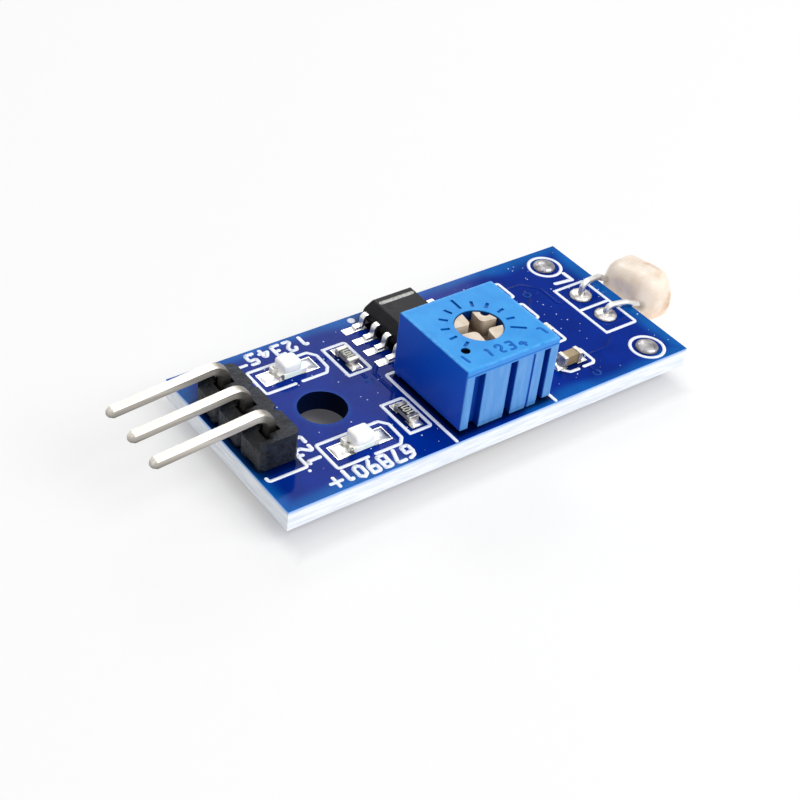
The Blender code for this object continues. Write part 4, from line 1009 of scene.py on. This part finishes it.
def makeCell(sizes):
    # depth behind the back, and share of the whole outline: the back's middle, its dome, the rim of the face
    middleShare, backShare = sizes["backShares"]
    stations = [(0.0, middleShare)]
    for step in range(sizes["domeSteps"] + 1):
        angle = math.pi / 2 * step / sizes["domeSteps"]
        stations.append(((sizes["thickness"] - sizes["rim"]) * (1 - math.cos(angle)),
                         backShare + (1 - backShare) * math.sin(angle)))
    for step in range(sizes["faceSteps"] + 1):
        angle = math.pi / 2 * step / sizes["faceSteps"]
        stations.append((sizes["thickness"] - sizes["faceSink"] - sizes["faceRound"] * (1 - math.sin(angle)),
                         1 - sizes["faceRound"] / sizes["radius"] * (1 - math.cos(angle))))
    shell = bmesh.new()
    rings = [[shell.verts.new((x * mm, y * mm, z * mm)) for y, z in cellOutline(sizes, share)]
             for x, share in stations]
    count = sizes["steps"]
    for near, far in zip(rings, rings[1:]):
        for i in range(count):
            shell.faces.new((near[i], near[(i + 1) % count], far[(i + 1) % count], far[i]))
    for ring in (rings[0], rings[-1]):
        middle = shell.verts.new(sum((v.co for v in ring), Vector()) / count)
        for i in range(count):
            shell.faces.new((ring[i], middle, ring[(i + 1) % count]))
    bmesh.ops.recalc_face_normals(shell, faces=shell.faces[:])
    # the dip climbs a little way up each lead
    for leadSpot in sizes["leadSpots"]:
        entry = Vector(leadSpot) * mm
        for vert in shell.verts:
            away = (vert.co - entry).length / (sizes["leadReach"] * mm)
            vert.co.x -= sizes["leadBump"] * mm * math.exp(-away * away * sizes["leadFall"])
    mesh = closeShape(shell, "cell")
    mesh.transform(placeCell(sizes, sizes["back"]))
    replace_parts(addPiece("sensorCoating", mesh, sensorCoat), "sensor_body")


makeCell(cellSizes)

# Photocell wires: each rises from its joint, bends outwards and dips into the back of the disc
wireSizes = {
    "radius": 0.225, "padX": 13.6, "padY": (-1.4, 1.2), "tail": -2.75, "crest": (0.8, 1.12), "kneeX": 15.3,
    "sag": 0.22, "entryX": 16.85, "endX": 17.85, "endY": (-1.55, 1.75), "endZ": -0.03, "bend": 0.42,
}


def makeWires(sizes):
    for i, (padY, endY, crest) in enumerate(zip(sizes["padY"], sizes["endY"], sizes["crest"])):
        route = [(sizes["padX"], padY, sizes["tail"]), (sizes["padX"], padY, crest),
                 (sizes["kneeX"], (padY + endY) / 2, crest - sizes["sag"]),
                 (sizes["entryX"], endY, sizes["endZ"]), (sizes["endX"], endY, sizes["endZ"])]
        seed = plainMesh("route", [onBoard(*spot) for spot in route], [(j, j + 1) for j in range(4)])
        grown = grow(seed, wireTree, {
            "Radius": sizes["radius"] * mm, "Bend": sizes["bend"] * mm, "Finish": leadTin})
        wire = addPiece(f"photocellWire{i + 1}", grown, leadTin)
        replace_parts(wire, f"sensor_lead_{i + 1}")


makeWires(wireSizes)

# Zigzag cell on the disc's face: the sulphide line between two metal combs
zigzagSizes = {
    "rows": 7, "pitch": 0.46, "line": {"width": 0.13, "thickness": 0.02, "rise": 0.0, "corner": 0.06},
    "comb": {"width": 0.17, "thickness": 0.012, "rise": 0.0, "corner": 0.06}, "field": 2.0, "fill": 0.8,
    "combGap": 0.45, "combEnd": 0.12, "spine": ((1.78, -1.0), (1.9, 0.0), (1.78, 1.0)),
}


def makeZigzag(sizes):
    upright = Matrix(((0, 0, 1, 0), (1, 0, 0, 0), (0, 1, 0, 0), (0, 0, 0, 1)))
    face = placeCell(cellSizes, cellSizes["back"] + cellSizes["thickness"] - cellSizes["faceSink"])
    toFace = face @ upright @ Matrix.Translation(-boardTop)
    zigzag = []
    combs = []
    for i in range(sizes["rows"]):
        y = (i - (sizes["rows"] - 1) / 2) * sizes["pitch"]
        reach = math.sqrt(sizes["field"] ** 2 - y * y) * sizes["fill"]
        side = -1 if i % 2 else 1
        zigzag += [(-side * reach, y), (side * reach, y)]
        combs.append([(side * (reach - sizes["combGap"]), y + sizes["pitch"] / 2),
                      (-side * (reach + sizes["combEnd"]), y + sizes["pitch"] / 2)])
    combs.pop()  # none beyond the last row
    combs += [[(side * x, y) for x, y in sizes["spine"]] for side in (-1, 1)]
    for name, paths, pen, finish in (("cellZigzag", [zigzag], sizes["line"], cellSulphide),
                                     ("cellCombs", combs, sizes["comb"], combMetal)):
        mesh = strips(paths, pen, finish)
        mesh.transform(toFace)
        addPiece(name, mesh, finish)


makeZigzag(zigzagSizes)
print("stage: photocell")

# Floor and light: a pale table, soft lamps and an even room
studioSizes = {
    "floor": 4.0, "floorColour": "#f7f7f8", "floorLift": 0.55, "floorShare": 0.43,
    "shade": ((14.0, 15.4, 15.4, 16.4), (5.0, 6.2, 7.9, 8.7)), "shadeLift": (0.1, 0.8, 0.2), "room": 0.28,
    "backdrop": 0.98,
}


# Rays that the camera, a mirror or glass sends, and not those that only carry light
def seenRays(add):
    rays = add("LightPath")
    seen = 0.0
    for kind in ("Camera", "Glossy", "Transmission"):
        seen = add("Math MAXIMUM", rays[f"Is {kind} Ray"], seen)
    return seen


def makeFloor(sizes):
    half = sizes["floor"] / 2
    corners = [(x, y, 0.0) for x, y in oblong(-half, -half, half, half)[:4]]
    mesh = plainMesh("table", corners, faces=[(0, 1, 2, 3)])
    addObject("table", mesh)
    material = bpy.data.materials.new("paleTable")
    add = emptyTree(material)
    paper, dim = [add("BsdfDiffuse", tone)
                  for tone in (colour(sizes["floorColour"]), (*[sizes["floorShare"]] * 3, 1.0))]
    # painted shadow: no lift below the board, where only the hole lets light in, and less lift in a band
    # round its edges
    spot = add("TexCoord")["Object"]
    away = add("VectorMath SUBTRACT", spot, tuple(boardTop))
    least, most, rest = sizes["shadeLift"]
    lift = 0.0
    for place, shade in zip(add("SeparateXYZ", away), sizes["shade"]):
        size = add("Math ABSOLUTE", place)
        start, high, edge, end = [reach * mm for reach in shade]
        inner = add("MapRange", size, start, high, least, most)
        both = add("Math ADD", inner, within(add, (size, edge, end), most=rest))
        lift = add("Math MAXIMUM", both, lift)
    strength = add("Math MULTIPLY", lift, sizes["floorLift"])
    glow = add("Emission", (1.0, 1.0, 1.0, 1.0), strength)
    lifted = add("AddShader", dim, glow)
    add("OutputMaterial", add("MixShader", seenRays(add), paper, lifted))
    mesh.materials.append(material)


def makeRoom(sizes):
    world = bpy.data.worlds.new("room")
    bpy.context.scene.world = world
    add = emptyTree(world)
    even, white = [add("Background", (1.0, 1.0, 1.0, 1.0), sizes[key])
                   for key in ("room", "backdrop")]
    add("OutputWorld", add("MixShader", seenRays(add), even, white))


lamps = {
    "frontSoftbox": {"place": (0.17, -0.33, 0.38), "wide": 0.36, "deep": 0.36, "power": 2.1},
    "overheadSoftbox": {"place": (0.0, 0.02, 0.52), "wide": 0.34, "deep": 0.34, "power": 0.5},
    "rearSoftbox": {"place": (0.19, 0.3434, 0.31), "wide": 0.215, "deep": 0.13, "power": 0.45},
}


def addLamp(name, sizes):
    lamp = bpy.data.lights.new(name, "AREA")
    lamp.shape = "RECTANGLE"
    lamp.size = sizes["wide"]
    lamp.size_y = sizes["deep"]
    lamp.energy = sizes["power"]
    place = Vector(sizes["place"])
    turn = (-place).to_track_quat("-Z", "Y").to_matrix().to_4x4()
    addObject(name, lamp).matrix_world = Matrix.Translation(place) @ turn


makeFloor(studioSizes)
makeRoom(studioSizes)
for lampName, lampSizes in lamps.items():
    addLamp(lampName, lampSizes)
bpy.context.scene.view_settings.view_transform = "Standard"
print("stage: floor and light")
